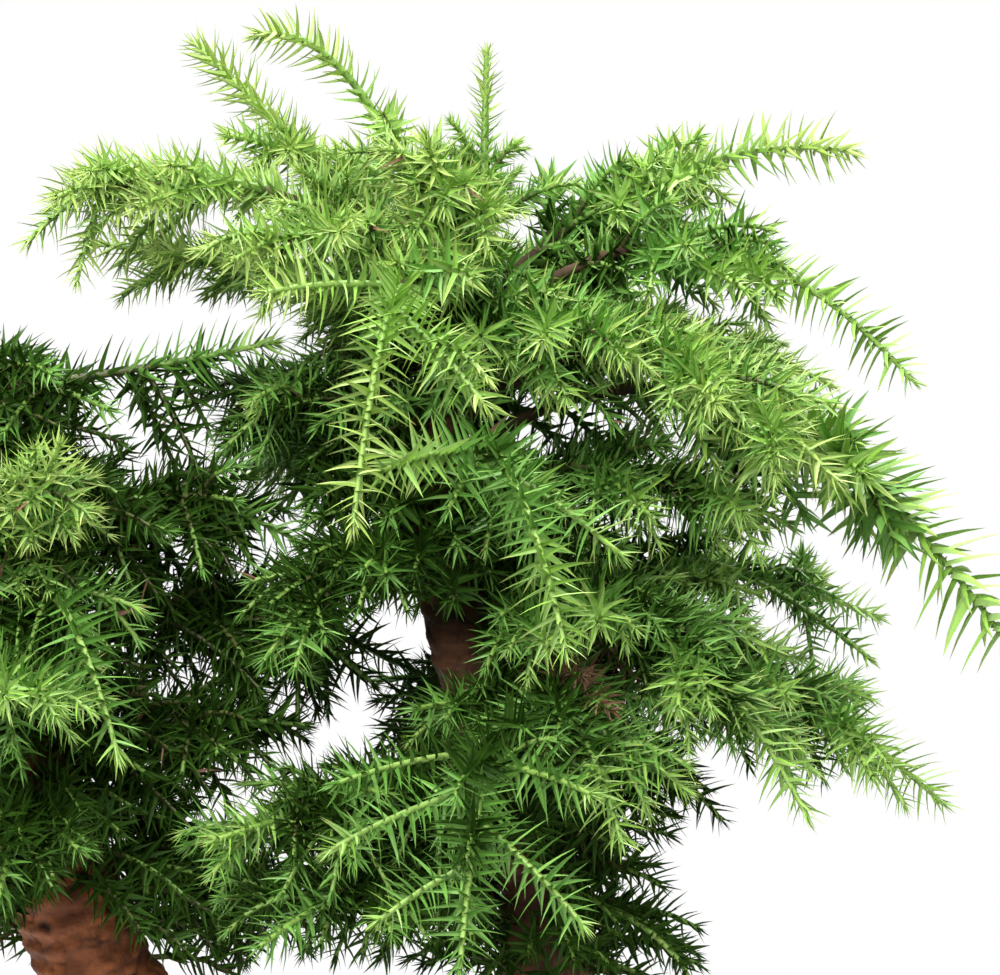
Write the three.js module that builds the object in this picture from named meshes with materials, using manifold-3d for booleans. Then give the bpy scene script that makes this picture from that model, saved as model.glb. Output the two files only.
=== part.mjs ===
// Twin-trunk hoop pine bonsai in a shallow pot: two trunks from one root, boughs in loose whorls,
// and on each bough a mass of needled shoots. Millimetres, +Z up. The origin is the centre of the
// pot's flat underside, and the tree's front faces -Y.
import * as THREE from "three";
import Module from "manifold-3d";

const wasm = await Module();
wasm.setup();

// Driving dimensions
const GAP = 0.35; // clearance between a piece and what carries it

const POT = {
  length: 240, // of the body at its foot
  width: 162,
  corner: 36,
  height: 54,
  flare: 8, // how far the walls lean out from foot to rim
  wall: 8,
  floor: 10,
  lip: 6,
  lipHeight: 9,
  footInset: 11,
  footHeight: 7,
  cornerSteps: 6,
};
// The soil is mounded under the trunks and has low lumps all round them.
const SOIL = {
  belowRim: 7,
  mound: 5,
  flatShare: 0.6, // of the way from the middle to the edge
  rings: 3, // from there to the edge
  lump: 1,
  lumpEvery: 31,
  longSteps: 10, // along the long and the short sides
  shortSteps: 5,
};
const GROUND = POT.height - SOIL.belowRim + SOIL.mound; // soil level under the trunks

// A trunk stands at foot, leans towards lean until settle, and sways in one wave about that line.
const TRUNKS = {
  main: {
    foot: [17, 2],
    lean: [-2, 10],
    settle: 200,
    sway: 15,
    bulge: 88, // height at which the sway is furthest to the right
    wave: 262,
    height: 285,
    baseRadius: 15.5,
    tipRadius: 2.4,
    flare: 12,
    rings: 20,
  },
  second: {
    foot: [-28, -3],
    lean: [-92, -12],
    settle: 95,
    sway: 2,
    bulge: 60,
    wave: 200,
    height: 252,
    baseRadius: 24,
    tipRadius: 2.4,
    flare: 9,
    rings: 18,
  },
};
const TRUNK_SIDES = 14;
const TAPER_POWER = 0.8;
const RING_CROWDING = 1.25; // above 1 the rings are closer near the ground
const UNEVEN = 0.04; // how far a ring is out of round, as a share of its radius
const UNEVEN_TURN = 30; // height over which that turns by a radian
const FLARE_FADE = 13; // height over which the root flare dies away
const FLARE_LOBES = 4;
const FLARE_LOBE = 0.2;
const FLARE_START = 1; // where round the foot the first lobe is

// A bough leaves its trunk at a height above the ground and points along a bearing, which is turned
// from the front towards the right. Its tip reaches out that far and rises that much, and the limb
// arches above the straight line between. Bare is the share of it that is a limb without needles:
// where none is given, the mass grows straight from the trunk. Branched is the share of the needled
// rest that carries side shoots, and beyond it the leading shoot runs on single.
const BOUGHS = {
  main: {
    top_left: { leaves: 266, bearing: -78, reach: 56, rise: 74, arch: 22, branched: 0.4 },
    top_back_left: { leaves: 258, bearing: -113, reach: 78, rise: 80, arch: 4, branched: 0.6 },
    top_spire: { leaves: 282, bearing: 175, reach: 12, rise: 54, arch: 0, branched: 0.45 },
    top_front: { leaves: 271, bearing: -14, reach: 42, rise: 40, arch: 4 },
    left_high: { leaves: 264, bearing: -75, reach: 111, rise: 31, arch: 20, bare: 0.3 },
    left_under_high: { leaves: 248, bearing: -89, reach: 96, rise: 36, arch: 8 },
    front_left_high: { leaves: 258, bearing: -42, reach: 84, rise: 24, arch: 16 },
    front_right_high: { leaves: 246, bearing: 49, reach: 72, rise: 8, arch: 14 },
    right_high_back: { leaves: 262, bearing: 110, reach: 117, rise: 46, arch: 16, bare: 0.2, branched: 0.45 },
    right_high: { leaves: 250, bearing: 84, reach: 126, rise: -2, arch: 35, bare: 0.3, branched: 0.5 },
    right_back_mid: { leaves: 238, bearing: 110, reach: 118, rise: 4, arch: 17 },
    right_front_mid: { leaves: 228, bearing: 59, reach: 122, rise: -2, arch: 30, bare: 0.3 },
    right_far: { leaves: 220, bearing: 81, reach: 160, rise: -47, arch: 46, bare: 0.35, branched: 0.62 },
    right_mid: { leaves: 208, bearing: 76, reach: 98, rise: 2, arch: 14 },
    right_back_low: { leaves: 186, bearing: 109, reach: 129, rise: -10, arch: 12, bare: 0.3 },
    right_front_low: { leaves: 172, bearing: 57, reach: 107, rise: -34, arch: 34 },
    right_low_far: { leaves: 170, bearing: 82, reach: 130, rise: -36, arch: 20 },
    front_centre_high: {
      leaves: 246, bearing: -11, reach: 108, rise: -27, arch: 42, bare: 0.35, branched: 0.45,
    },
    front_centre: {
      leaves: 216, bearing: 19, reach: 107, rise: -28, arch: 30, bare: 0.35, branched: 0.5,
    },
    left_front_mid: { leaves: 196, bearing: -40, reach: 70, rise: -18, arch: 12 },
    left_back_mid: { leaves: 232, bearing: -97, reach: 66, rise: 8, arch: 8 },
    front_left_low: { leaves: 134, bearing: -48, reach: 104, rise: 0, arch: 4 },
    front_left_under: { leaves: 118, bearing: -42, reach: 104, rise: -10, arch: 8 },
    front_low: { leaves: 131, bearing: -7, reach: 118, rise: -20, arch: 32, bare: 0.3 },
    front_right_low: { leaves: 148, bearing: 21, reach: 90, rise: -12, arch: 24 },
    right_low: { leaves: 100, bearing: 50, reach: 48, rise: -6, arch: 8 },
    right_back_under: { leaves: 142, bearing: 112, reach: 56, rise: -14, arch: 14 },
    back_right_high: { leaves: 250, bearing: 152, reach: 92, rise: 12, arch: 16 },
    back_left_mid: { leaves: 218, bearing: -148, reach: 98, rise: -4, arch: 20 },
    back_mid: { leaves: 190, bearing: 165, reach: 112, rise: -18, arch: 22 },
    back_low: { leaves: 148, bearing: -172, reach: 92, rise: -12, arch: 16 },
  },
  second: {
    second_right_high: { leaves: 246, bearing: 100, reach: 78, rise: 12, arch: -1, branched: 0.3 },
    second_front_high: { leaves: 200, bearing: 27, reach: 52, rise: 36, arch: -4 },
    second_front_right: { leaves: 188, bearing: 32, reach: 72, rise: -30, arch: 22, branched: 0.5 },
    second_front: { leaves: 162, bearing: 6, reach: 72, rise: 13, arch: 6 },
    second_front_low: { leaves: 126, bearing: -4, reach: 63, rise: -4, arch: 12 },
    second_right_low: { leaves: 112, bearing: 112, reach: 70, rise: -24, arch: 16 },
    second_right_mid: { leaves: 205, bearing: 105, reach: 84, rise: -2, arch: 12 },
    second_right_under: { leaves: 150, bearing: 98, reach: 77, rise: 4, arch: 4 },
    second_right_back: { leaves: 174, bearing: 119, reach: 120, rise: -10, arch: 14, bare: 0.3 },
    second_side_high: { leaves: 214, bearing: -105, reach: 62, rise: 6, arch: 14 },
    second_side_mid: { leaves: 178, bearing: -66, reach: 72, rise: -14, arch: 20, bare: 0.3 },
    second_side_low: { leaves: 142, bearing: -104, reach: 66, rise: -22, arch: 18 },
    second_back: { leaves: 200, bearing: 166, reach: 82, rise: 0, arch: 15 },
    second_spire: { leaves: 249, bearing: -100, reach: 20, rise: 24, arch: 0 },
  },
};
const BOUGH = { sides: 6, stepLength: 13, tipRadius: 1.9, trunkShare: 0.26, most: 4.2 };

// Side shoots stand on both sides of a bough's leading shoot, longest near the trunk.
const SIDE = {
  every: 15,
  first: 0.1, // share of the needled part before the first one
  share: 0.42, // of the bough's length
  least: 14,
  most: 50,
  tipLoss: 0.45, // how much shorter the outermost ones are
  uneven: 0.3, // spread of the length
  angle: 0.92,
  turn: 0.35, // spread of that angle
  lift: 0.5, // spread of the rise
  droop: 0.45, // share of them that point down
  sag: 0.16,
  tries: [1, 0.75, 0.5], // shares of the length that are tried
};
const SEEDS = { bough: 31, shoot: 3 }; // steps of the seed from bough to bough and shoot to shoot
const SHOOT = { sides: 3, coreRadius: 2.1, tipRadius: 0.8, twist: 0.5, clear: 8, limbClear: 4.5 };

// Where the space taken by limbs is measured: heights on a trunk, and how many on a bare limb
const BEAD = { step: 3, count: 12 };

// Needles are larger than life and fewer, so that the crown is nearly as full as a living one.
const NEEDLE = {
  length: 20,
  pitch: 12, // along the shoot
  tipShare: 0.46, // length at the shoot's tip
  spread: 1.12, // angle from the shoot, at its foot and at its tip
  tipSpread: 0.62,
  tested: [0.45, 0.75, 1], // shares of its length that have to be clear
  clear: 1.8, // from limbs and from the space of other masses
  sisterClear: 5, // from the other shoots of its own mass
};

const BARK = { color: 0x4a2f20, roughness: 0.95, metalness: 0 };
const TWIG = { color: 0x5d4526, roughness: 0.9, metalness: 0 };
const CLAY = { color: 0x4b4641, roughness: 0.7, metalness: 0 };
const EARTH = { color: 0x3a2c22, roughness: 1, metalness: 0 };
const LEAF = { color: 0x4f8a2c, roughness: 0.55, metalness: 0 };

const UP = new THREE.Vector3(0, 0, 1);
const { lerp, degToRad, smoothstep } = THREE.MathUtils;

const boughs = Object.entries(BOUGHS).flatMap(([trunk, rows]) =>
  Object.entries(rows).map(([name, sizes]) => ({ name, trunk, bare: 0, branched: 0.82, ...sizes })),
);

// A repeatable number from 0 to 1 for each seed
function chance(seed) {
  const wave = Math.sin(seed * 12.9898) * 43758.5453;
  return wave - Math.floor(wave);
}

// Solids from closed geometries, and back
function toSolid(geometry) {
  const vertProperties = new Float32Array(geometry.getAttribute("position").array);
  const triVerts = new Uint32Array(geometry.index.array);
  return new wasm.Manifold(new wasm.Mesh({ numProp: 3, vertProperties, triVerts }));
}

function toGeometry(solid) {
  const { vertProperties, triVerts, numProp } = solid.getMesh();
  const buffer = new THREE.InterleavedBuffer(vertProperties, numProp);
  const made = new THREE.BufferGeometry();
  made.setAttribute("position", new THREE.InterleavedBufferAttribute(buffer, 3, 0));
  made.setIndex(new THREE.BufferAttribute(triVerts, 1));
  made.computeVertexNormals();
  return made;
}

function closedGeometry(points, triangles) {
  const numbers = points.flatMap((p) => p.toArray());
  const made = new THREE.BufferGeometry();
  made.setAttribute("position", new THREE.Float32BufferAttribute(numbers, 3));
  made.setIndex(triangles);
  return made;
}

// A skin over rings of equal count with flat ends. Each ring turns anticlockwise, seen from ahead.
function loft(rings) {
  const count = rings[0].length;
  const last = rings.length - 1;
  const at = (ring, i) => ring * count + (i % count);
  const triangles = [];
  for (let ring = 0; ring < last; ring++) {
    for (let i = 0; i < count; i++) {
      triangles.push(at(ring, i), at(ring, i + 1), at(ring + 1, i + 1));
      triangles.push(at(ring, i), at(ring + 1, i + 1), at(ring + 1, i));
    }
  }
  for (let i = 1; i + 1 < count; i++) {
    triangles.push(at(0, 0), at(0, i + 1), at(0, i));
    triangles.push(at(last, 0), at(last, i), at(last, i + 1));
  }
  return closedGeometry(rings.flat(), triangles);
}

// Two unit vectors across a direction, the first one level
function across(direction) {
  const level = new THREE.Vector3().crossVectors(UP, direction).normalize();
  const rising = new THREE.Vector3().crossVectors(direction, level).normalize();
  return [level, rising];
}

function ringAt(centre, direction, radius, sides, turned = 0) {
  const [level, rising] = across(direction);
  const ring = [];
  for (let i = 0; i < sides; i++) {
    const turn = turned + (2 * Math.PI * i) / sides;
    const point = centre.clone().addScaledVector(level, radius * Math.cos(turn));
    ring.push(point.addScaledVector(rising, radius * Math.sin(turn)));
  }
  return ring;
}

// Trunks
function trunkAxis(trunk, height) {
  const settled = 1 - Math.exp(-height / trunk.settle);
  const phase = (2 * Math.PI) / trunk.wave;
  const sway = Math.cos((height - trunk.bulge) * phase) - Math.cos(trunk.bulge * phase);
  return new THREE.Vector3(
    trunk.foot[0] + trunk.lean[0] * settled + trunk.sway * sway,
    trunk.foot[1] + trunk.lean[1] * settled,
    GROUND + GAP + height,
  );
}

function trunkRadius(trunk, height) {
  const left = Math.max(0, 1 - height / trunk.height) ** TAPER_POWER;
  const flare = trunk.flare * Math.exp(-height / FLARE_FADE);
  return trunk.tipRadius + (trunk.baseRadius - trunk.tipRadius) * left + flare;
}

// The rings lie level and closer near the ground, so the trunk ends in a flat cut there.
function trunkSolid(trunk, grown = 0) {
  const rings = [];
  for (let k = 0; k <= trunk.rings; k++) {
    const height = trunk.height * (k / trunk.rings) ** RING_CROWDING;
    const centre = trunkAxis(trunk, height);
    const lobe = FLARE_LOBE * Math.exp(-height / FLARE_FADE);
    const ring = [];
    for (let i = 0; i < TRUNK_SIDES; i++) {
      const turn = (2 * Math.PI * i) / TRUNK_SIDES;
      const oval = UNEVEN * Math.cos(2 * turn + height / UNEVEN_TURN);
      const lobes = lobe * Math.cos(FLARE_LOBES * turn + FLARE_START);
      const radius = trunkRadius(trunk, height) * (1 + oval + lobes) + grown;
      ring.push(new THREE.Vector3(radius * Math.cos(turn), radius * Math.sin(turn), 0).add(centre));
    }
    rings.push(ring);
  }
  return toSolid(loft(rings));
}

// Boughs
function boughPath(bough) {
  const start = trunkAxis(TRUNKS[bough.trunk], bough.leaves);
  const bearing = degToRad(bough.bearing);
  const outward = new THREE.Vector3(Math.sin(bearing), -Math.cos(bearing), 0);
  const tip = start.clone().addScaledVector(outward, bough.reach).addScaledVector(UP, bough.rise);
  const middle = start.clone().lerp(tip, 0.5).addScaledVector(UP, 2 * bough.arch);
  return new THREE.QuadraticBezierCurve3(start, middle, tip);
}

function boughRadius(bough, share) {
  const wanted = BOUGH.trunkShare * trunkRadius(TRUNKS[bough.trunk], bough.leaves);
  const root = Math.min(BOUGH.most, Math.max(BOUGH.tipRadius, wanted));
  return lerp(root, BOUGH.tipRadius, share / bough.bare);
}

function boughSolid(bough) {
  const path = boughPath(bough);
  const steps = Math.round((path.getLength() * bough.bare) / BOUGH.stepLength);
  const rings = [];
  for (let k = 0; k <= steps; k++) {
    const share = (bough.bare * k) / steps;
    const radius = boughRadius(bough, share);
    rings.push(ringAt(path.getPoint(share), path.getTangent(share), radius, BOUGH.sides));
  }
  return toSolid(loft(rings)).subtract(grownTrunks[bough.trunk]);
}

// Shoots: the leading shoot of each bough, then its side shoots
function leadingShoot(bough) {
  const path = boughPath(bough);
  const length = path.getLength();
  const start = bough.bare > 0 ? bough.bare + GAP / length : 0;
  const steps = Math.round((length * (1 - start)) / NEEDLE.pitch);
  const points = [];
  for (let k = 0; k <= steps; k++) points.push(path.getPoint(lerp(start, 1, k / steps)));
  return { bough, points, bareSteps: 0 };
}

function sideShoot(bough, index, count, seed, scale) {
  const path = boughPath(bough);
  const along = (index + 0.5) / count;
  const share = lerp(bough.bare, 1, lerp(SIDE.first, bough.branched, along));
  const base = path.getPoint(share);
  const forward = path.getTangent(share);
  const [level, rising] = across(forward);
  const hand = index % 2 ? 1 : -1;
  const angle = SIDE.angle + SIDE.turn * (chance(seed) - 0.5);
  const full = Math.min(SIDE.most, Math.max(SIDE.least, SIDE.share * path.getLength()));
  const luck = 1 + SIDE.uneven * (chance(seed + 1) - 0.5);
  const length = scale * full * (1 - SIDE.tipLoss * along) * luck;
  const heading = forward
    .multiplyScalar(Math.cos(angle))
    .addScaledVector(level, hand * Math.sin(angle))
    .addScaledVector(rising, SIDE.lift * (chance(seed + 2) - SIDE.droop))
    .normalize();
  const middle = base.clone().addScaledVector(heading, length * 0.5);
  const tip = base.clone().addScaledVector(heading, length).addScaledVector(UP, -SIDE.sag * length);
  const steps = Math.max(2, Math.round(length / NEEDLE.pitch));
  const points = new THREE.QuadraticBezierCurve3(base, middle, tip).getPoints(steps);
  return { bough, points, bareSteps: 1 };
}

function nearest(point, list) {
  return list.reduce((least, p) => Math.min(least, point.distanceTo(p)), Infinity);
}

function clearOfLimbs(point, limbs, room) {
  return limbs.every((limb) => point.distanceTo(limb.centre) > limb.radius + room);
}

const pointsOf = (shoots) => shoots.flatMap((shoot) => shoot.points);

// A shoot keeps to its own space: clear of every limb and of every shoot of the other masses.
function hasRoom(shoot, limbs, shoots) {
  const others = pointsOf(shoots.filter((s) => s.bough !== shoot.bough));
  const free = shoot.points.slice(1);
  return free.every((p) => clearOfLimbs(p, limbs, SHOOT.limbClear) && nearest(p, others) > SHOOT.clear);
}

// A side shoot without room is tried shorter, then left out.
function allShoots(limbs) {
  const shoots = boughs.map(leadingShoot);
  boughs.forEach((bough, row) => {
    const branched = boughPath(bough).getLength() * (1 - bough.bare) * (bough.branched - SIDE.first);
    const count = Math.max(2, Math.round(branched / SIDE.every));
    for (let i = 0; i < count; i++) {
      const seed = row * SEEDS.bough + i * SEEDS.shoot;
      const tries = SIDE.tries.map((scale) => sideShoot(bough, i, count, seed, scale));
      const fitting = tries.find((shoot) => hasRoom(shoot, limbs, shoots));
      if (fitting) shoots.push(fitting);
    }
  });
  return shoots;
}

// Centres and radii along every trunk and bare limb
function limbBeads() {
  const beads = [];
  for (const trunk of Object.values(TRUNKS)) {
    for (let height = 0; height <= trunk.height; height += BEAD.step) {
      beads.push({ centre: trunkAxis(trunk, height), radius: trunkRadius(trunk, height) });
    }
  }
  for (const bough of boughs.filter((b) => b.bare > 0)) {
    const path = boughPath(bough);
    for (let k = 0; k <= BEAD.count; k++) {
      const share = (bough.bare * k) / BEAD.count;
      beads.push({ centre: path.getPoint(share), radius: boughRadius(bough, share) });
    }
  }
  return beads;
}

// A slim three-sided core whose every side carries one needle a step. A needle that would leave the
// space of its mass, or touch a limb or a sister shoot, is skipped.
function shootGeometry(shoot, staysInside) {
  const { points } = shoot;
  const last = points.length - 1;
  const headings = points.map((_, k) => {
    const back = points[Math.max(0, k - 1)];
    return points[Math.min(last, k + 1)].clone().sub(back).normalize();
  });
  const vertices = points.flatMap((p, k) => {
    const radius = lerp(SHOOT.coreRadius, SHOOT.tipRadius, k / last);
    return ringAt(p, headings[k], radius, SHOOT.sides, SHOOT.twist * k);
  });
  const triangles = [0, 2, 1];
  const at = (ring, i) => ring * SHOOT.sides + (i % SHOOT.sides);
  for (let k = 0; k < last; k++) {
    const share = (k + 0.5) / last;
    const centre = points[k].clone().lerp(points[k + 1], 0.5);
    const length = NEEDLE.length * lerp(1, NEEDLE.tipShare, share ** 3);
    const spread = lerp(NEEDLE.spread, NEEDLE.tipSpread, share);
    for (let i = 0; i < SHOOT.sides; i++) {
      const corners = [at(k, i), at(k, i + 1), at(k + 1, i + 1), at(k + 1, i)];
      const seat = new THREE.Vector3();
      corners.forEach((c) => seat.addScaledVector(vertices[c], 0.25));
      const needle = seat.clone().sub(centre).projectOnPlane(headings[k]).setLength(Math.sin(spread));
      needle.addScaledVector(headings[k], Math.cos(spread));
      const along = (part) => seat.clone().addScaledVector(needle, length * part);
      if (k >= shoot.bareSteps && NEEDLE.tested.every((part) => staysInside(along(part)))) {
        const tip = vertices.push(along(1)) - 1;
        corners.forEach((c, j) => triangles.push(c, corners[(j + 1) % 4], tip));
      } else {
        triangles.push(corners[0], corners[1], corners[2], corners[0], corners[2], corners[3]);
      }
    }
  }
  const reach = NEEDLE.length * NEEDLE.tipShare;
  const end = vertices.push(points[last].clone().addScaledVector(headings[last], reach)) - 1;
  for (let i = 0; i < SHOOT.sides; i++) triangles.push(at(last, i), at(last, i + 1), end);
  return closedGeometry(vertices, triangles);
}

// One mass: all the shoots of a bough joined, cut clear of the trunk, without loose scraps
function massSolid(bough, shoots, limbs) {
  const own = shoots.filter((s) => s.bough === bough);
  const ownPoints = pointsOf(own);
  const otherPoints = pointsOf(shoots.filter((s) => s.bough !== bough));
  const needled = own.map((shoot) => {
    const sisters = pointsOf(own.filter((s) => s !== shoot));
    const staysInside = (p) =>
      clearOfLimbs(p, limbs, NEEDLE.clear) &&
      nearest(p, sisters) > NEEDLE.sisterClear &&
      nearest(p, otherPoints) > nearest(p, ownPoints) + NEEDLE.clear;
    return toSolid(shootGeometry(shoot, staysInside));
  });
  const joined = needled.reduce((sum, s) => sum.add(s));
  const cut = bough.bare > 0 ? joined : joined.subtract(grownTrunks[bough.trunk]);
  return cut.decompose().reduce((a, b) => (a.volume() > b.volume() ? a : b));
}

// Pot and soil
// A rounded rectangle, anticlockwise from above
function outline(outset, z) {
  const corner = POT.corner + outset;
  const ring = [];
  const quarters = [[1, 1], [-1, 1], [-1, -1], [1, -1]];
  quarters.forEach(([sideX, sideY], quarter) => {
    for (let k = 0; k <= POT.cornerSteps; k++) {
      const turn = (Math.PI / 2) * (quarter + k / POT.cornerSteps);
      const x = sideX * (POT.length / 2 - POT.corner) + corner * Math.cos(turn);
      const y = sideY * (POT.width / 2 - POT.corner) + corner * Math.sin(turn);
      ring.push(new THREE.Vector3(x, y, z));
    }
  });
  return ring;
}

function potSolid() {
  const rim = POT.height;
  const under = rim - POT.lipHeight;
  return toSolid(loft([
    outline(-POT.footInset, 0),
    outline(-POT.footInset, POT.footHeight),
    outline(0, POT.footHeight),
    outline(POT.flare, under),
    outline(POT.flare + POT.lip, under),
    outline(POT.flare + POT.lip, rim),
    outline(POT.flare - POT.wall, rim),
    outline(-POT.wall, POT.floor),
  ]));
}

// The same outline with points along its straight sides, which alternate between long and short
function steppedOutline(outset, z) {
  const corners = outline(outset, z);
  const perCorner = POT.cornerSteps + 1;
  return corners.flatMap((point, i) => {
    if ((i + 1) % perCorner) return [point];
    const next = corners[(i + 1) % corners.length];
    const steps = Math.floor(i / perCorner) % 2 ? SOIL.shortSteps : SOIL.longSteps;
    return Array.from({ length: steps }, (_, k) => point.clone().lerp(next, k / steps));
  });
}

// Height of the soil at a point that lies a share of the way from the middle to the edge
function soilLevel(x, y, share) {
  const wave = (2 * Math.PI) / (SOIL.lumpEvery * Math.SQRT2);
  const rise = (1 - share) / (1 - SOIL.flatShare);
  const lump = SOIL.lump * Math.cos(wave * x) * Math.cos(wave * y);
  return GROUND - SOIL.mound * (1 - smoothstep(rise, 0, 1)) + 4 * rise * (1 - rise) * lump;
}

function soilSolid() {
  const surface = POT.height - SOIL.belowRim;
  const slant = POT.flare / (POT.height - POT.floor);
  const inside = (z) => slant * (z - POT.floor) - POT.wall - GAP;
  const edge = steppedOutline(inside(surface), surface);
  const rings = [steppedOutline(inside(POT.floor), POT.floor + GAP)];
  for (let k = 0; k <= SOIL.rings; k++) {
    const share = lerp(1, SOIL.flatShare, k / SOIL.rings);
    rings.push(edge.map((p) => {
      const x = share * p.x;
      const y = share * p.y;
      return new THREE.Vector3(x, y, soilLevel(x, y, share));
    }));
  }
  return toSolid(loft(rings));
}

// Assembly
const bonsai = new THREE.Group();
bonsai.name = "hoop_pine_bonsai";

function place(name, solid, finish) {
  const mesh = new THREE.Mesh(toGeometry(solid), new THREE.MeshStandardMaterial(finish));
  mesh.name = name;
  bonsai.add(mesh);
}

const grownTrunks = { main: trunkSolid(TRUNKS.main, GAP), second: trunkSolid(TRUNKS.second, GAP) };
place("pot", potSolid(), CLAY);
place("soil", soilSolid(), EARTH);
place("main_trunk", trunkSolid(TRUNKS.main), BARK);
place("second_trunk", trunkSolid(TRUNKS.second).subtract(grownTrunks.main), BARK);

const limbs = limbBeads();
const shoots = allShoots(limbs);
for (const bough of boughs) {
  if (bough.bare > 0) place(`${bough.name}_bough`, boughSolid(bough), TWIG);
  place(`${bough.name}_foliage`, massSolid(bough, shoots, limbs), LEAF);
}

export default bonsai;
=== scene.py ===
# %% [markdown]
# This lesson dresses a twin-trunk hoop pine bonsai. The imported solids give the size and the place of
# every trunk, bough and mass of foliage, and each step below swaps some of them for a finer mesh.
# Everything is worked out in millimetres and turned into Blender's metres when a mesh is made.

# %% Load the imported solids
import math
from collections import namedtuple

import bpy
import numpy as np
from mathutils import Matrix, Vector, noise


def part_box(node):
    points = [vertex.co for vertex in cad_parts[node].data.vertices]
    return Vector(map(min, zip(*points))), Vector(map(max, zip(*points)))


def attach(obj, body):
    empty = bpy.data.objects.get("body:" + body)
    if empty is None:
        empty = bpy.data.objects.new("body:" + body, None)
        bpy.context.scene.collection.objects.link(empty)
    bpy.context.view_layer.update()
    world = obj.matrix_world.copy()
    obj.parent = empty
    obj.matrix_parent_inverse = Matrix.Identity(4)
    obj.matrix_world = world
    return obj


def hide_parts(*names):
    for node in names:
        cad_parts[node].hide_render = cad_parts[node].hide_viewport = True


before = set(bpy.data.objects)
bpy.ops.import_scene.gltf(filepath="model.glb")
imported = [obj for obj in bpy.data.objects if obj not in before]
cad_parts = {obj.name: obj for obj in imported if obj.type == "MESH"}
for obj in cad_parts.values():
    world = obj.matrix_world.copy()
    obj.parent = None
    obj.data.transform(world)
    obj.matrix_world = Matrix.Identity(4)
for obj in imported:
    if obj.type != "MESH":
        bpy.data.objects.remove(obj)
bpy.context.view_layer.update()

MM = 0.001
LIMB_NODES = [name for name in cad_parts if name.endswith("_bough")]
mass_count = sum(name.endswith("_foliage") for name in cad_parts)
print(len(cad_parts), "solids,", mass_count, "masses,", len(LIMB_NODES), "bare limbs")

# %% [markdown]
# The picture is a close view of the crown from a little above its middle. A long lens far away keeps
# the boughs that point at the camera from swelling. The lens is worked out from the width that the
# frame covers at the tree, so the distance can change without changing the framing.

# %% Camera
VIEW_TARGET = Vector((27, 0, 271)) * MM
VIEW_DISTANCE = 1100 * MM
VIEW_ELEVATION = math.radians(6)
VIEW_WIDTH = 270 * MM
SENSOR_WIDTH = 36
NEAREST_SEEN = 10 * MM

lens = bpy.data.cameras.new("crown_camera")
lens.sensor_width = SENSOR_WIDTH
lens.lens = SENSOR_WIDTH * VIEW_DISTANCE / VIEW_WIDTH
lens.clip_start = NEAREST_SEEN
camera = bpy.data.objects.new("crown_camera", lens)
away = Vector((0, -math.cos(VIEW_ELEVATION), math.sin(VIEW_ELEVATION)))
camera.location = VIEW_TARGET + VIEW_DISTANCE * away
camera.rotation_euler = (math.pi / 2 - VIEW_ELEVATION, 0, 0)
bpy.context.collection.objects.link(camera)
bpy.context.scene.camera = camera
print("lens", round(lens.lens, 1), "mm")

# %% [markdown]
# The tree stands in bright, even studio light against white. The world is brighter to the eye than as
# a light, because full white from all sides would wash out the dark inside of the crown that gives the
# boughs their depth. The Standard view keeps that white from turning grey. The world, the floor and
# every finish are small graphs of nodes, so two helpers add a node and join two sockets.

# %% White world
WORLD_LIGHT = 0.22
WORLD_WHITE = (1, 1, 1, 1)
WARM_WHITE = (1, 1, 0.97, 1)


def add_node(tree, kind, sockets=None, **settings):
    """A new shader node with some of its settings and the values of some of its sockets."""
    node = tree.nodes.new("ShaderNode" + kind)
    for label, value in settings.items():
        setattr(node, label, value)
    for label, value in (sockets or {}).items():
        node.inputs[label].default_value = value
    return node


def join(tree, source, output, target, socket):
    tree.links.new(source.outputs[output], target.inputs[socket])


bpy.context.scene.view_settings.view_transform = "Standard"
world = bpy.data.worlds.new("white_studio")
world.use_nodes = True
bpy.context.scene.world = world
wires = world.node_tree
seen = wires.nodes["Background"]
seen.inputs["Color"].default_value = WORLD_WHITE
lighting = add_node(wires, "Background", {"Color": WARM_WHITE, "Strength": WORLD_LIGHT})
chooser = add_node(wires, "MixShader")
ray = add_node(wires, "LightPath")
join(wires, ray, "Is Camera Ray", chooser, "Fac")
join(wires, lighting, "Background", chooser, 1)
join(wires, seen, "Background", chooser, 2)
join(wires, chooser, "Shader", wires.nodes["World Output"], "Surface")
print("the world lights with", WORLD_LIGHT, "of the white it shows")

# %% [markdown]
# A pale floor catches the shadow of the pot. Seen from above, its edge would cut the white background,
# so the paint fades to nothing with the distance from the pot, which keeps the floor a plain square.

# %% Pale floor
FLOOR_HALF = 0.48
FLOOR_SOLID = 0.2
FLOOR_PALE = (0.8, 0.8, 0.8, 1)
FLOOR_ROUGHNESS = 0.8
SQUARE = ((-1, -1), (1, -1), (1, 1), (-1, 1))
Finish = namedtuple("Finish", "material tree shader")


def new_finish(name):
    material = bpy.data.materials.new(name)
    material.use_nodes = True
    return Finish(material, material.node_tree, material.node_tree.nodes["Principled BSDF"])


floor_mesh = bpy.data.meshes.new("floor")
floor_corners = [(x * FLOOR_HALF, y * FLOOR_HALF, 0) for x, y in SQUARE]
floor_mesh.from_pydata(floor_corners, [], [range(len(SQUARE))])
floor = bpy.data.objects.new("floor", floor_mesh)
bpy.context.collection.objects.link(floor)
paint = new_finish("pale_floor")
paint.shader.inputs["Base Color"].default_value = FLOOR_PALE
paint.shader.inputs["Roughness"].default_value = FLOOR_ROUGHNESS
floor_place = add_node(paint.tree, "TexCoord")
floor_reach = add_node(paint.tree, "VectorMath", operation="LENGTH")
fade_range = {"From Min": FLOOR_SOLID, "From Max": FLOOR_HALF, "To Min": 1, "To Max": 0}
floor_fade = add_node(paint.tree, "MapRange", fade_range, interpolation_type="SMOOTHSTEP")
join(paint.tree, floor_place, "Object", floor_reach, 0)
join(paint.tree, floor_reach, "Value", floor_fade, "Value")
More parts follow.
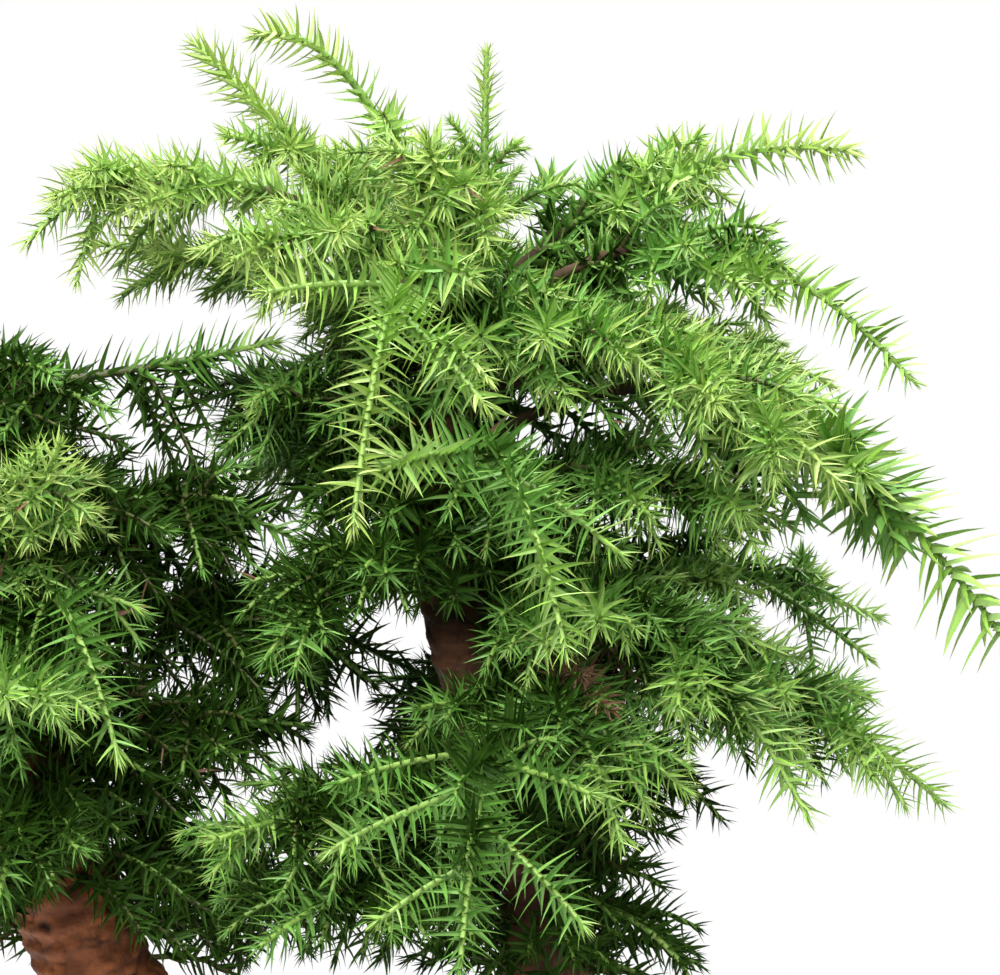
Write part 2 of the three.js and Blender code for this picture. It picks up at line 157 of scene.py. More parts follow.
join(paint.tree, floor_fade, "Result", paint.shader, "Alpha")
floor_mesh.materials.append(paint.material)
print("floor", 2 * FLOOR_HALF, "m wide")

# %% [markdown]
# Three softboxes light the tree: a key from the left front, a broad one from above and a weak fill
# from the right. Large area lights give the soft shadows of a studio, where point lights or a sun
# would draw a hard edge behind every needle.

# %% Softboxes
TREE_MIDDLE = Vector((0, 0, 0.26))
# Place, width and power of each light
SOFTBOXES = {
    "key_light": ((-0.4, -0.9, 1.15), 1.0, 37),
    "top_light": ((0.2, 0.25, 1.5), 1.1, 46),
    "fill_light": ((1.1, -1.1, 0.5), 0.8, 6),
}
for name, (place, width, watts) in SOFTBOXES.items():
    light = bpy.data.lights.new(name, "AREA")
    light.size = width
    light.energy = watts
    lamp = bpy.data.objects.new(name, light)
    lamp.location = place
    lamp.rotation_euler = (TREE_MIDDLE - lamp.location).to_track_quat("-Z", "Y").to_euler()
    bpy.context.collection.objects.link(lamp)
print(len(SOFTBOXES), "softboxes")

# %% [markdown]
# The tree grows by a rule: two trunks from one root, boughs that leave them at known heights and
# bearings, and shoots on the boughs. The solids were grown by the same rule, so repeating it here
# puts every finer twig where its solid is. The trunks below have the sizes their solids have.

# %% Sizes of the trunks
GAP = 0.35
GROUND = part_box("soil")[1].z / MM
Trunk = namedtuple("Trunk", "foot lean settle sway bulge wave height base_radius tip_radius flare")
TRUNKS = {
    "main": Trunk(
        foot=(17, 2), lean=(-2, 10), settle=200, sway=15, bulge=88, wave=262,
        height=285, base_radius=15.5, tip_radius=2.4, flare=12,
    ),
    "second": Trunk(
        foot=(-28, -3), lean=(-92, -12), settle=95, sway=2, bulge=60, wave=200,
        height=252, base_radius=24, tip_radius=2.4, flare=9,
    ),
}
TAPER_POWER = 0.8
FLARE_FADE = 13
print("trunks of", [trunk.height for trunk in TRUNKS.values()], "mm")

# %% [markdown]
# Boughs dealt out by chance would make some tree, but not this one with its gaps and its lean to the
# right. So each bough has a row of its own in a table, with the sizes its solid was grown from, and the
# names say where on the tree it stands.

# %% Sizes of the boughs
# A bough leaves its trunk at a height and points along a bearing, turned from the front to the right.
# It reaches out and rises that far, and arches above the straight line. It is bare for a share of it,
# and side shoots stand on the branched share of the rest.
Bough = namedtuple("Bough", "name trunk leaves bearing reach rise arch bare branched", defaults=(0, 0.82))
MAIN_BOUGHS = {
    "top_left": (266, -78, 56, 74, 22, 0, 0.4),
    "top_back_left": (258, -113, 78, 80, 4, 0, 0.6),
    "top_spire": (282, 175, 12, 54, 0, 0, 0.45),
    "top_front": (271, -14, 42, 40, 4),
    "left_high": (264, -75, 111, 31, 20, 0.3),
    "left_under_high": (248, -89, 96, 36, 8),
    "front_left_high": (258, -42, 84, 24, 16),
    "front_right_high": (246, 49, 72, 8, 14),
    "right_high_back": (262, 110, 117, 46, 16, 0.2, 0.45),
    "right_high": (250, 84, 126, -2, 35, 0.3, 0.5),
    "right_back_mid": (238, 110, 118, 4, 17),
    "right_front_mid": (228, 59, 122, -2, 30, 0.3),
    "right_far": (220, 81, 160, -47, 46, 0.35, 0.62),
    "right_mid": (208, 76, 98, 2, 14),
    "right_back_low": (186, 109, 129, -10, 12, 0.3),
    "right_front_low": (172, 57, 107, -34, 34),
    "right_low_far": (170, 82, 130, -36, 20),
    "front_centre_high": (246, -11, 108, -27, 42, 0.35, 0.45),
    "front_centre": (216, 19, 107, -28, 30, 0.35, 0.5),
    "left_front_mid": (196, -40, 70, -18, 12),
    "left_back_mid": (232, -97, 66, 8, 8),
    "front_left_low": (134, -48, 104, 0, 4),
    "front_left_under": (118, -42, 104, -10, 8),
    "front_low": (131, -7, 118, -20, 32, 0.3),
    "front_right_low": (148, 21, 90, -12, 24),
    "right_low": (100, 50, 48, -6, 8),
    "right_back_under": (142, 112, 56, -14, 14),
    "back_right_high": (250, 152, 92, 12, 16),
    "back_left_mid": (218, -148, 98, -4, 20),
    "back_mid": (190, 165, 112, -18, 22),
    "back_low": (148, -172, 92, -12, 16),
}
SECOND_BOUGHS = {
    "second_right_high": (246, 100, 78, 12, -1, 0, 0.3),
    "second_front_high": (200, 27, 52, 36, -4),
    "second_front_right": (188, 32, 72, -30, 22, 0, 0.5),
    "second_front": (162, 6, 72, 13, 6),
    "second_front_low": (126, -4, 63, -4, 12),
    "second_right_low": (112, 112, 70, -24, 16),
    "second_right_mid": (205, 105, 84, -2, 12),
    "second_right_under": (150, 98, 77, 4, 4),
    "second_right_back": (174, 119, 120, -10, 14, 0.3),
    "second_side_high": (214, -105, 62, 6, 14),
    "second_side_mid": (178, -66, 72, -14, 20, 0.3),
    "second_side_low": (142, -104, 66, -22, 18),
    "second_back": (200, 166, 82, 0, 15),
    "second_spire": (249, -100, 20, 24, 0),
}
boughs = [Bough(name, "main", *sizes) for name, sizes in MAIN_BOUGHS.items()]
boughs += [Bough(name, "second", *sizes) for name, sizes in SECOND_BOUGHS.items()]
missing = [b.name for b in boughs if b.name + "_foliage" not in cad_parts]
print(len(boughs), "boughs, without a solid:", missing)

# %% [markdown]
# Trunks and boughs are curves. A trunk's line is a lean that settles plus one slow wave, and it tapers
# from a flare at the root. Plain functions of height are easier to reuse than Blender curve objects,
# because bark, twigs and needles all ask the same curve for points.

# %% Curves of the trunks
UP = np.array((0.0, 0.0, 1.0))


def unit(vectors):
    return vectors / np.linalg.norm(vectors, axis=-1, keepdims=True)


def across(directions):
    """Two unit vectors across each direction, the first one level."""
    level = unit(np.cross(UP, directions))
    return level, unit(np.cross(directions, level))


def blend_values(start, end, share):
    return start + (end - start) * share


def trunk_axis(trunk, heights):
    heights = np.asarray(heights, dtype=float)
    settled = 1 - np.exp(-heights / trunk.settle)
    phase = 2 * math.pi / trunk.wave
    sway = np.cos((heights - trunk.bulge) * phase) - math.cos(trunk.bulge * phase)
    x = trunk.foot[0] + trunk.lean[0] * settled + trunk.sway * sway
    y = trunk.foot[1] + trunk.lean[1] * settled
    return np.stack((x, y, GROUND + GAP + heights), axis=-1)


def trunk_radius(trunk, heights):
    heights = np.asarray(heights, dtype=float)
    left = np.maximum(0, 1 - heights / trunk.height) ** TAPER_POWER
    flare = trunk.flare * np.exp(-np.maximum(0, heights) / FLARE_FADE)
    return trunk.tip_radius + (trunk.base_radius - trunk.tip_radius) * left + flare


tops = [trunk_axis(trunk, trunk.height).round().tolist() for trunk in TRUNKS.values()]
print("trunks end at", tops)

# %% [markdown]
# A bough is a quadratic curve: it leaves the middle of the trunk, rises over an arch and ends at its
# tip. A spline through many points could bend more freely, but three points are all that a row of the
# table gives, and a share from 0 to 1 finds any place on the curve.

# %% Curves of the boughs
LENGTH_SAMPLES = np.linspace(0, 1, 201)


def curve_points(controls, shares):
    start, middle, tip = controls
    share = np.asarray(shares, dtype=float)[..., None]
    return (1 - share) ** 2 * start + 2 * share * (1 - share) * middle + share**2 * tip


def curve_headings(controls, shares):
    start, middle, tip = controls
    share = np.asarray(shares, dtype=float)[..., None]
    return unit((1 - share) * (middle - start) + share * (tip - middle))


def curve_length(controls):
    points = curve_points(controls, LENGTH_SAMPLES)
    return np.linalg.norm(np.diff(points, axis=0), axis=1).sum()


def bough_controls(bough):
    start = trunk_axis(TRUNKS[bough.trunk], bough.leaves)
    bearing = math.radians(bough.bearing)
    outward = np.array((math.sin(bearing), -math.cos(bearing), 0))
    tip = start + outward * bough.reach + UP * bough.rise
    middle = (start + tip) / 2 + UP * 2 * bough.arch
    return start, middle, tip


lengths = [curve_length(bough_controls(bough)) for bough in boughs]
print("boughs are", round(min(lengths)), "to", round(max(lengths)), "mm long")

# %% [markdown]
# Every bough ends in a leading shoot, which follows the bough's own curve from where the bare wood
# stops. With a curve of its own its stem might miss the end of the wood. A shoot's order, from the
# leading one to the finest, decides later how long its needles are and how many faces they have.

# %% Leading shoots
STEP = 12
# The finer shoots of the next steps are outer ones, on side shoots, or inner ones on thicker wood
LEADING, SIDE, OUTER_FINE, INNER_FINE = range(4)
Shoot = namedtuple("Shoot", "bough order controls start steps seed")


def shoot_points(shoot):
    return curve_points(shoot.controls, np.linspace(shoot.start, 1, shoot.steps + 1))


def leading_shoot(bough, row):
    controls = bough_controls(bough)
    length = curve_length(controls)
    start = bough.bare + GAP / length if bough.bare > 0 else 0
    return Shoot(bough, LEADING, controls, start, round(length * (1 - start) / STEP), row)


shoots = [leading_shoot(bough, row) for row, bough in enumerate(boughs)]
print(len(shoots), "leading shoots of", sum(shoot.steps for shoot in shoots), "steps")

# %% [markdown]
# Side shoots stand on both sides of a leading shoot like the barbs of a feather, shorter towards its
# tip. A random number generator would tie each shoot to the calls before it, so a hash of a seed gives
# every shoot its own luck. The solids have the same seeds, and so the same shoots come out.

# %% Side shoots
FEWEST_STEPS = 2
FEWEST_SIDE_SHOOTS = 2
SIDE_EVERY = 15
SIDE_FIRST = 0.1
SIDE_SHARE = 0.42
SIDE_LEAST = 14
SIDE_MOST = 50
SIDE_SHRINK = 0.45
# The least share of its full length that a shoot grows, and how much more luck may give it
SIDE_LENGTH_LUCK = (0.85, 0.3)
SIDE_ANGLE = 0.92
SIDE_ANGLE_LUCK = 0.35
SIDE_LIFT = 0.5
SIDE_LEVEL_LUCK = 0.45
SIDE_SAG = 0.16
HASH_WAVE = 12.9898
HASH_SPREAD = 43758.5453


def chance(seed):
    """A repeatable number from 0 to 1 for each seed."""
    wave = math.sin(seed * HASH_WAVE) * HASH_SPREAD
    return wave - math.floor(wave)


def grown_from(base, heading, length, sag):
    """The curve of a shoot that sets out along its heading and sags by a share of its length."""
    tip = base + heading * length - UP * sag * length
    return base, base + heading * length / 2, tip


def side_shoot(bough, index, count, seed, scale):
    controls = bough_controls(bough)
    along = (index + 0.5) / count
    share = blend_values(bough.bare, 1, blend_values(SIDE_FIRST, bough.branched, along))
    forward = curve_headings(controls, share)
    level, rising = across(forward)
    hand = 1 if index % 2 else -1
    angle = SIDE_ANGLE + SIDE_ANGLE_LUCK * (chance(seed) - 0.5)
    full = min(SIDE_MOST, max(SIDE_LEAST, SIDE_SHARE * curve_length(controls)))
    shortest, luck_range = SIDE_LENGTH_LUCK
    length = scale * full * (1 - SIDE_SHRINK * along) * (shortest + luck_range * chance(seed + 1))
    heading = forward * math.cos(angle) + level * hand * math.sin(angle)
    heading = unit(heading + rising * SIDE_LIFT * (chance(seed + 2) - SIDE_LEVEL_LUCK))
    grown = grown_from(curve_points(controls, share), heading, length, SIDE_SAG)
    return Shoot(bough, SIDE, grown, 0, max(FEWEST_STEPS, round(length / STEP)), seed)


print("side shoots are cut to", SIDE_MOST, "mm before luck")

# %% [markdown]
# Shoots and needles have to keep clear of the wood. Searching a mesh for the nearest point would be
# exact and slow. Rows of beads along the trunks and bare limbs are enough: the distance to the nearest
# bead is one line of array work.

# %% Beads along the wood
BEAD_STEP = 3
LIMB_BEADS = 13
BOUGH_TIP_RADIUS = 1.9
BOUGH_TRUNK_SHARE = 0.26
BOUGH_MOST_RADIUS = 4.2


def bough_root_radius(bough):
    wanted = BOUGH_TRUNK_SHARE * float(trunk_radius(TRUNKS[bough.trunk], bough.leaves))
    return min(BOUGH_MOST_RADIUS, max(BOUGH_TIP_RADIUS, wanted))


def trunk_beads(trunk):
    heights = np.arange(0, trunk.height + 1, BEAD_STEP)
    return trunk_axis(trunk, heights), trunk_radius(trunk, heights)


def bare_limb_beads(bough):
    along = np.linspace(0, 1, LIMB_BEADS)
    centres = curve_points(bough_controls(bough), along * bough.bare)
    return centres, blend_values(bough_root_radius(bough), BOUGH_TIP_RADIUS, along)


beads = [trunk_beads(trunk) for trunk in TRUNKS.values()]
trunk_bead_count = sum(len(radii) for _, radii in beads)
beads += [bare_limb_beads(bough) for bough in boughs if bough.bare > 0]
bead_centres = np.concatenate([centres for centres, _ in beads])
bead_radii = np.concatenate([radii for _, radii in beads])


def room_beside_limbs(points, bead_count=None):
    """How far each point is from the nearest trunk or bare limb, among the first few beads or all."""
    gaps = np.linalg.norm(points[:, None] - bead_centres[None, :bead_count], axis=2)
    return (gaps - bead_radii[:bead_count]).min(axis=1)


print(len(bead_radii), "beads,", trunk_bead_count, "of them in the trunks")

# %% [markdown]
# A side shoot that has no room beside a limb or another mass is tried shorter and then left out, as
# shaded buds die. Growing all of them first and deleting those that cross would take out both of a
# pair, so they grow one after the other.

# %% Room for the side shoots
LIMB_CLEAR = 4.5
MASS_CLEAR = 8
TRIED_SCALES = (1, 0.75, 0.5)
ROW_SEEDS = 31
SIDE_SEEDS = 3


def has_room(shoot, grown):
    free = shoot_points(shoot)[1:]
    others = np.concatenate([shoot_points(s) for s in grown if s.bough is not shoot.bough])
    nearest = np.linalg.norm(free[:, None] - others[None], axis=2).min()
    return room_beside_limbs(free).min() > LIMB_CLEAR and nearest > MASS_CLEAR


for row, bough in enumerate(boughs):
    needled = curve_length(bough_controls(bough)) * (1 - bough.bare)
    wanted = round(needled * (bough.branched - SIDE_FIRST) / SIDE_EVERY)
    side_count = max(FEWEST_SIDE_SHOOTS, wanted)
    for index in range(side_count):
        for scale in TRIED_SCALES:
            tried = side_shoot(bough, index, side_count, row * ROW_SEEDS + index * SIDE_SEEDS, scale)
            if has_room(tried, shoots):
                shoots.append(tried)
                break
print(len(shoots), "shoots,", len(shoots) - len(boughs), "of them side shoots")

# %% [markdown]
# The boughs of this tree don't all carry their needles alike. Some have long thorns set wide apart,
# some a close fur, and on some they stand straight out like the teeth of a comb. One rule for all would
# look like a plastic tree, so each bough has a habit: a few numbers that the shoots and needles read.

# %% Habits of the boughs
# The length and width scale a needle. The pitch in millimetres lies between a needle and the next, the
# spread is its angle from the stem, and the turn goes round the stem. Finer shoots leave their shoot at
# the lean. They all live in the core, a sleeve of that radius round the trunk, and outside it the
# filled share of them does.
Habit = namedtuple("Habit", "length pitch spread width turn filled core lean")
# The turn from one needle to the next that lines them up in eight or in five ranks
EIGHT_RANKS = 2 * math.pi * 3 / 8
FIVE_RANKS = 2 * math.pi * 2 / 5
HABITS = {
    "plain": Habit(0.94, 0.56, 1.22, 1.0, EIGHT_RANKS, 0.6, 60, 0.5),
    "comb": Habit(0.98, 0.66, 1.42, 1.1, FIVE_RANKS, 0.1, 45, 0.66),
    "thorny": Habit(1.42, 0.86, 1.24, 1.4, EIGHT_RANKS, 0.15, 50, 0.6),
    "stout": Habit(0.84, 0.62, 1.4, 1.4, EIGHT_RANKS, 0.4, 60, 0.72),
    "short": Habit(0.66, 0.56, 1.32, 1.45, EIGHT_RANKS, 0.4, 80, 0.66),
    "close": Habit(0.82, 0.5, 1.2, 1.0, EIGHT_RANKS, 0.75, 60, 0.66),
    "furry": Habit(0.8, 0.42, 1.2, 1.2, EIGHT_RANKS, 0.5, 60, 0.66),
    "budding": Habit(0.52, 0.36, 1.15, 1.5, EIGHT_RANKS, 0.5, 60, 0.66),
    "bushy": Habit(0.92, 0.58, 1.22, 1.0, EIGHT_RANKS, 1.0, 80, 0.85),
    "rope": Habit(0.86, 0.5, 1.2, 1.0, EIGHT_RANKS, 0.3, 55, 0.6),
    "sparse": Habit(0.8, 0.8, 1.2, 1.4, FIVE_RANKS, 0.15, 25, 0.66),
    "hanging": Habit(0.88, 0.72, 1.25, 1.25, EIGHT_RANKS, 1.0, 60, 1.15),
    "shaded": Habit(0.9, 0.62, 1.22, 1.15, EIGHT_RANKS, 1.0, 80, 0.85),
}
HABIT_BOUGHS = {
    "comb": ("front_centre_high", "front_centre", "second_front_right", "front_low"),
    "thorny": ("right_far",),
    "stout": ("right_high_back", "right_high"),
    "short": ("right_back_low", "right_back_mid"),
    "close": ("second_spire", "second_front_high"),
    "furry": ("top_back_left",),
    "budding": ("top_spire",),
    "bushy": ("front_left_low", "back_right_high"),
    "rope": ("left_high", "left_under_high", "front_left_high"),
    "sparse": ("top_left", "right_low"),
    "hanging": ("second_right_high",),
    "shaded": (
        "second_right_mid", "second_right_under", "second_right_back", "second_right_low",
        "second_back", "back_low", "back_mid", "back_left_mid",
    ),
}
special_habits = {bough: habit for habit, names in HABIT_BOUGHS.items() for bough in names}
habit_names = {bough.name: special_habits.get(bough.name, "plain") for bough in boughs}


def habit_of(bough):
    return HABITS[habit_names[bough.name]]


print(len(HABITS), "habits,", list(habit_names.values()).count("plain"), "boughs are plain")

# %% [markdown]
# A living shoot branches once more. Finer shoots stand round the inner part of each leading and side
# shoot and along the bare limbs, and leave the outer ropes of needles single. Scattered at random they
# would clump, so each one is turned by the golden angle from the one before, as buds are on a real
# stem. This step only proposes them.

# %% Finer shoots on the boughs
GOLDEN_TURN = math.pi * (3 - math.sqrt(5))
FINE_SAG = 0.38
FINE_STEP = 4
FEWEST_FINE_STEPS = 3
FINE_SEEDS = 5
FINE_ROLL_LUCK = 1.5
FINE_LEAN_LUCK = 0.4
FINE_LENGTH_LUCK = (0.8, 0.4)
HANGING_LAST = 0.85
# Order of the finer shoots, millimetres from one to the next, their lengths, and where they stand
FineRule = namedtuple("FineRule", "order every longest shortest first last", defaults=(0.0, 1.0))
LEADING_FINE = FineRule(INNER_FINE, 2.3, 38, 16, 0.02, 0.74)
SIDE_FINE = FineRule(OUTER_FINE, 3.4, 26, 12, 0.05, 0.6)
LIMB_FINE = FineRule(INNER_FINE, 1.1, 32, 20, 0.1)
# Where the seeds of the finer shoots start, and how far on those of the next shoot, order or bough start
SHOOT_SEED, SHOOT_STRIDE, ORDER_STRIDE = 1000, 7, 311
LIMB_SEED, LIMB_STRIDE = 9000, 17


def fine_shoot(bough, base, ahead, sideways, lean, length, order, seed):
    lean = lean + FINE_LEAN_LUCK * (chance(seed + 1) - 0.5)
    heading = unit(ahead * math.cos(lean) + sideways * math.sin(lean))
    grown = grown_from(base, heading, length, FINE_SAG)
    return Shoot(bough, order, grown, 0, max(FEWEST_FINE_STEPS, round(length / FINE_STEP)), seed)


def curve_sprouts(bough, controls, first, last, rule, first_seed):
    """Finer shoots along a stretch of a curve, shorter towards its end."""
    count = int(curve_length(controls) * (last - first) / rule.every)
    along = (np.arange(count) + 0.5) / max(1, count)
    shares = blend_values(first, last, along)
    headings = curve_headings(controls, shares)
    lengths = blend_values(rule.longest, rule.shortest, along)
    rows = zip(curve_points(controls, shares), headings, *across(headings), lengths)
    shortest, luck_range = FINE_LENGTH_LUCK
    made = []
    for index, (base, ahead, level, rising, length) in enumerate(rows):
        seed = first_seed + FINE_SEEDS * index
        roll = GOLDEN_TURN * index + FINE_ROLL_LUCK * chance(seed)
        sideways = level * math.cos(roll) + rising * math.sin(roll)
        own = length * (shortest + luck_range * chance(seed + 2))
        lean = habit_of(bough).lean
        made.append(fine_shoot(bough, base, ahead, sideways, lean, own, rule.order, seed))
    return made


candidates = []
for shoot in shoots:
    rule = SIDE_FINE if shoot.order == SIDE else LEADING_FINE
    branched = HANGING_LAST if habit_names[shoot.bough.name] == "hanging" else shoot.bough.branched
    last_share = rule.last if shoot.order == SIDE else min(rule.last, branched)
    first = blend_values(shoot.start, 1, rule.first)
    last = blend_values(shoot.start, 1, last_share)
    first_seed = SHOOT_SEED + shoot.seed * SHOOT_STRIDE + shoot.order * ORDER_STRIDE
    candidates += curve_sprouts(shoot.bough, shoot.controls, first, last, rule, first_seed)
for row, bough in enumerate(boughs):
    if bough.bare > 0:
        first = LIMB_FINE.first * bough.bare
        limb_seed = LIMB_SEED + LIMB_STRIDE * row
        candidates += curve_sprouts(bough, bough_controls(bough), first, bough.bare, LIMB_FINE, limb_seed)
print(len(candidates), "finer shoots could grow on the boughs")

# %% [markdown]
# Where the crown is thick, shoots also break from the trunk itself and close the view to its bark. Each
# takes the habit of the bough that is nearest in height. Between those stretches the trunk stays bare,
# because its colour has to show there.

# %% Finer shoots on the trunks
TRUNK_FINE = FineRule(INNER_FINE, 0.8, 36, 18)
TRUNK_LEAN = 1.25
TRUNK_SEED = 12000
SUNK_FOOT = 1
# Heights between which the crown hides a trunk
COVERED = {"main": ((84, 148), (190, 280)), "second": ((92, 254),)}


def trunk_sprouts(trunk_name, low, high, first_seed):
    """A coat of finer shoots on a trunk between two heights."""
    trunk = TRUNKS[trunk_name]
    rule = TRUNK_FINE
    made = []
    for index, height in enumerate(np.arange(low, high, rule.every)):
        seed = first_seed + FINE_SEEDS * index
        bearing = GOLDEN_TURN * index
        outward = np.array((math.cos(bearing), math.sin(bearing), 0))
        base = trunk_axis(trunk, height) + outward * (trunk_radius(trunk, height) - SUNK_FOOT)
        own = blend_values(rule.longest, rule.shortest, chance(seed + 2))
        nearest = min((b for b in boughs if b.trunk == trunk_name), key=lambda b: abs(b.leaves - height))
        made.append(fine_shoot(nearest, base, UP, outward, TRUNK_LEAN, own, rule.order, seed))
    return made


coat = []
for trunk_name, stretches in COVERED.items():
    for low, high in stretches:
        coat += trunk_sprouts(trunk_name, low, high, TRUNK_SEED + low)
print(len(coat), "could grow on the trunks")

# %% [markdown]
# The white gaps between the boughs and the dark hollows in the front of the crown are part of the
# tree's character. Thinning the shoots everywhere would lose them in an even crown, so the gaps are
# given as ovals seen from the camera, and a shoot that would close one is left out.

# %% Gaps and hollows
# Gaps where the sky shows between the boughs, seen from the front: middle, half width, half height
SKY_GAPS = ((-9, 225, 12, 12), (52, 370, 17, 11), (-52, 312, 12, 8), (-82, 296, 11, 6))
# Hollows where only the front of the crown is open and its dark inside or a trunk shows
HOLLOWS = ((-14, 326, 13, 12), (46, 310, 5, 8), (-88, 140, 24, 11), (33, 160, 13, 10))
HOLLOW_FRONT = -12


def seen_in(points, ovals):
    """Which points the camera sees inside one of the ovals, given in the plane through the trunks."""
    eye = np.array(camera.location) / MM
    share = -eye[1] / (points[:, 1] - eye[1])
    seen_points = eye + (points - eye) * share[:, None]
    inside = np.zeros(len(points), dtype=bool)
    for x, z, half_wide, half_tall in ovals:
        offset = np.hypot((seen_points[:, 0] - x) / half_wide, (seen_points[:, 2] - z) / half_tall)
        inside = inside | (offset < 1)
    return inside


def hides_gap(points):
    in_front = points[:, 1] < HOLLOW_FRONT
    return (seen_in(points, SKY_GAPS) | (seen_in(points, HOLLOWS) & in_front)).any()


print(len(SKY_GAPS), "gaps and", len(HOLLOWS), "hollows stay open")

# %% [markdown]
# Nearly half of the proposed shoots die: one is dropped where another is too near, where it gets no
# light, or where it would close a gap. Comparing every shoot with every other would be slow, so the
# crown is cut into small cubes of space that are taken or free.

# %% Shoots that thrive
FINE_CELL = 4.0
FINE_CROWDED = 0.28
TRACE_STEP = 3
FEWEST_TRACED = 3
HANGING_DROP = 6.0


def trunk_distance(points, trunk_name):
    """How far each point is from the middle of a trunk at its own height, or from the trunk's top."""
    trunk = TRUNKS[trunk_name]
    heights = np.clip(points[:, 2] - GROUND, 0, trunk.height)
    return np.linalg.norm(points - trunk_axis(trunk, heights), axis=1)


def cells(points):
    """The small cubes of space that some points lie in."""
    return [tuple(cell) for cell in (points // FINE_CELL).astype(int).tolist()]


def trace_cells(shoot):
    """The cubes that a shoot runs through."""
    length = curve_length(shoot.controls) * (1 - shoot.start)
    shares = np.linspace(shoot.start, 1, max(FEWEST_TRACED, round(length / TRACE_STEP)))
    return cells(curve_points(shoot.controls, shares))


def thrives(tried):
    """Whether a finer shoot gets light: the ones near the trunk do, and a share of the others."""
    habit = habit_of(tried.bough)
    deep = trunk_distance(shoot_points(tried), tried.bough.trunk).max() < habit.core
    base, _, tip = tried.controls
    upright = habit is HABITS["hanging"] and tip[2] > base[2] - HANGING_DROP
    return not upright and (deep or chance(tried.seed + 4) < habit.filled)


def fits(tried):
    """Whether a finer shoot has room beside the limbs and the shoots so far, and hides no gap."""
    outer = shoot_points(tried)[2:]
    crowded = sum(cell in taken for cell in cells(outer)) / len(outer)
    free = room_beside_limbs(outer).min() > LIMB_CLEAR and crowded <= FINE_CROWDED
    return free and not hides_gap(outer)


taken = set()
for shoot in shoots:
    taken.update(trace_cells(shoot))
fine = []
for tried in [shoot for shoot in candidates if thrives(shoot)] + coat:
    if fits(tried):
        fine.append(tried)
        taken.update(trace_cells(tried))
all_shoots = shoots + fine
shoot_orders = np.array([shoot.order for shoot in all_shoots])
total = sum(curve_length(s.controls) * (1 - s.start) for s in all_shoots)
print(len(fine), "finer shoots grow,", round(total * MM, 1), "m of shoots in all")

# %% [markdown]
# Real surfaces are never one flat colour. Two effects come back in most finishes here, so each is a
# shader node group that is built once: a slow drift of tone over the surface, and a fine grain that
# gives a height for bumps and a mask for roughness. Both read object coordinates, because the joined
# meshes have no unwrapped faces.

# %% Shared node groups
DRIFT_RANGE = {"From Min": 0.3, "From Max": 0.7}


def new_group(name, inputs, outputs):
    group = bpy.data.node_groups.new(name, "ShaderNodeTree")
    for way, sockets in (("INPUT", inputs), ("OUTPUT", outputs)):
        for label, kind in sockets.items():
            group.interface.new_socket(label, in_out=way, socket_type="NodeSocket" + kind)
    return group, group.nodes.new("NodeGroupInput"), group.nodes.new("NodeGroupOutput")


def noise_node(group, given, detail):
    place = add_node(group, "TexCoord")
    grain = add_node(group, "TexNoise", {"Detail": detail})
    join(group, place, "Object", grain, "Vector")
    join(group, given, "Scale", grain, "Scale")
    return grain


def tone_drift_group():
    sockets = {"Light": "Color", "Dark": "Color", "Scale": "Float"}
    group, given, result = new_group("tone_drift", sockets, {"Color": "Color"})
    grain = noise_node(group, given, detail=3)
    widen = add_node(group, "MapRange", DRIFT_RANGE)
    mixed = add_node(group, "Mix", data_type="RGBA")
    join(group, grain, "Fac", widen, "Value")
    join(group, widen, "Result", mixed, "Factor")
    join(group, given, "Light", mixed, "A")
    join(group, given, "Dark", mixed, "B")
    join(group, mixed, "Result", result, "Color")
    return group


def fine_grain_group():
    sockets = {"Scale": "Float", "Smooth": "Float", "Rough": "Float"}
    group, given, result = new_group("fine_grain", sockets, {"Height": "Float", "Roughness": "Float"})
    grain = noise_node(group, given, detail=5)
    spread = add_node(group, "MapRange")
    join(group, grain, "Fac", spread, "Value")
    join(group, given, "Smooth", spread, "To Min")
    join(group, given, "Rough", spread, "To Max")
    join(group, grain, "Fac", result, "Height")
    join(group, spread, "Result", result, "Roughness")
    return group


tone_drift = tone_drift_group()
fine_grain = fine_grain_group()
print("node groups:", [group.name for group in bpy.data.node_groups])

# %% [markdown]
# Each finish gets the groups with values of its own. Copying the nodes into every material would look
# the same, but then each change would have to be made many times. Two helpers place a group and join it
# to the shader, one for the colour and one for the roughness and the bumps.

# %% Groups in a finish
def group_node(finish, group, **values):
    node = add_node(finish.tree, "Group", node_tree=group)
    for label, value in values.items():
        node.inputs[label].default_value = value
    return node


def add_tones(finish, light, dark, scale):
    """Feeds the base colour from two tones that drift into each other."""
    drift = group_node(finish, tone_drift, Light=(*light, 1), Dark=(*dark, 1), Scale=scale)
    join(finish.tree, drift, "Color", finish.shader, "Base Color")
    return drift


def add_grain(finish, scale, smooth, rough, strength, depth):
    """Feeds the roughness and a bump of a known depth from one fine grain."""
    grain = group_node(finish, fine_grain, Scale=scale, Smooth=smooth, Rough=rough)
    bump = add_node(finish.tree, "Bump", {"Strength": strength, "Distance": depth})
    join(finish.tree, grain, "Roughness", finish.shader, "Roughness")
    join(finish.tree, grain, "Height", bump, "Height")
    join(finish.tree, bump, "Normal", finish.shader, "Normal")


print("a finish can have", tone_drift.name, "and", fine_grain.name)

# %% [markdown]
# Thousands of twigs and needles are quickest made as meshes from arrays, where Blender's operators
# would add them one by one. One helper turns points in millimetres and lists of faces into a piece that
# rides on the tree's body, stands for its solids and takes its list of finishes.
# Another keeps a number for each point of a piece, which its finish can read.

# %% Making a piece
BODY = "root"


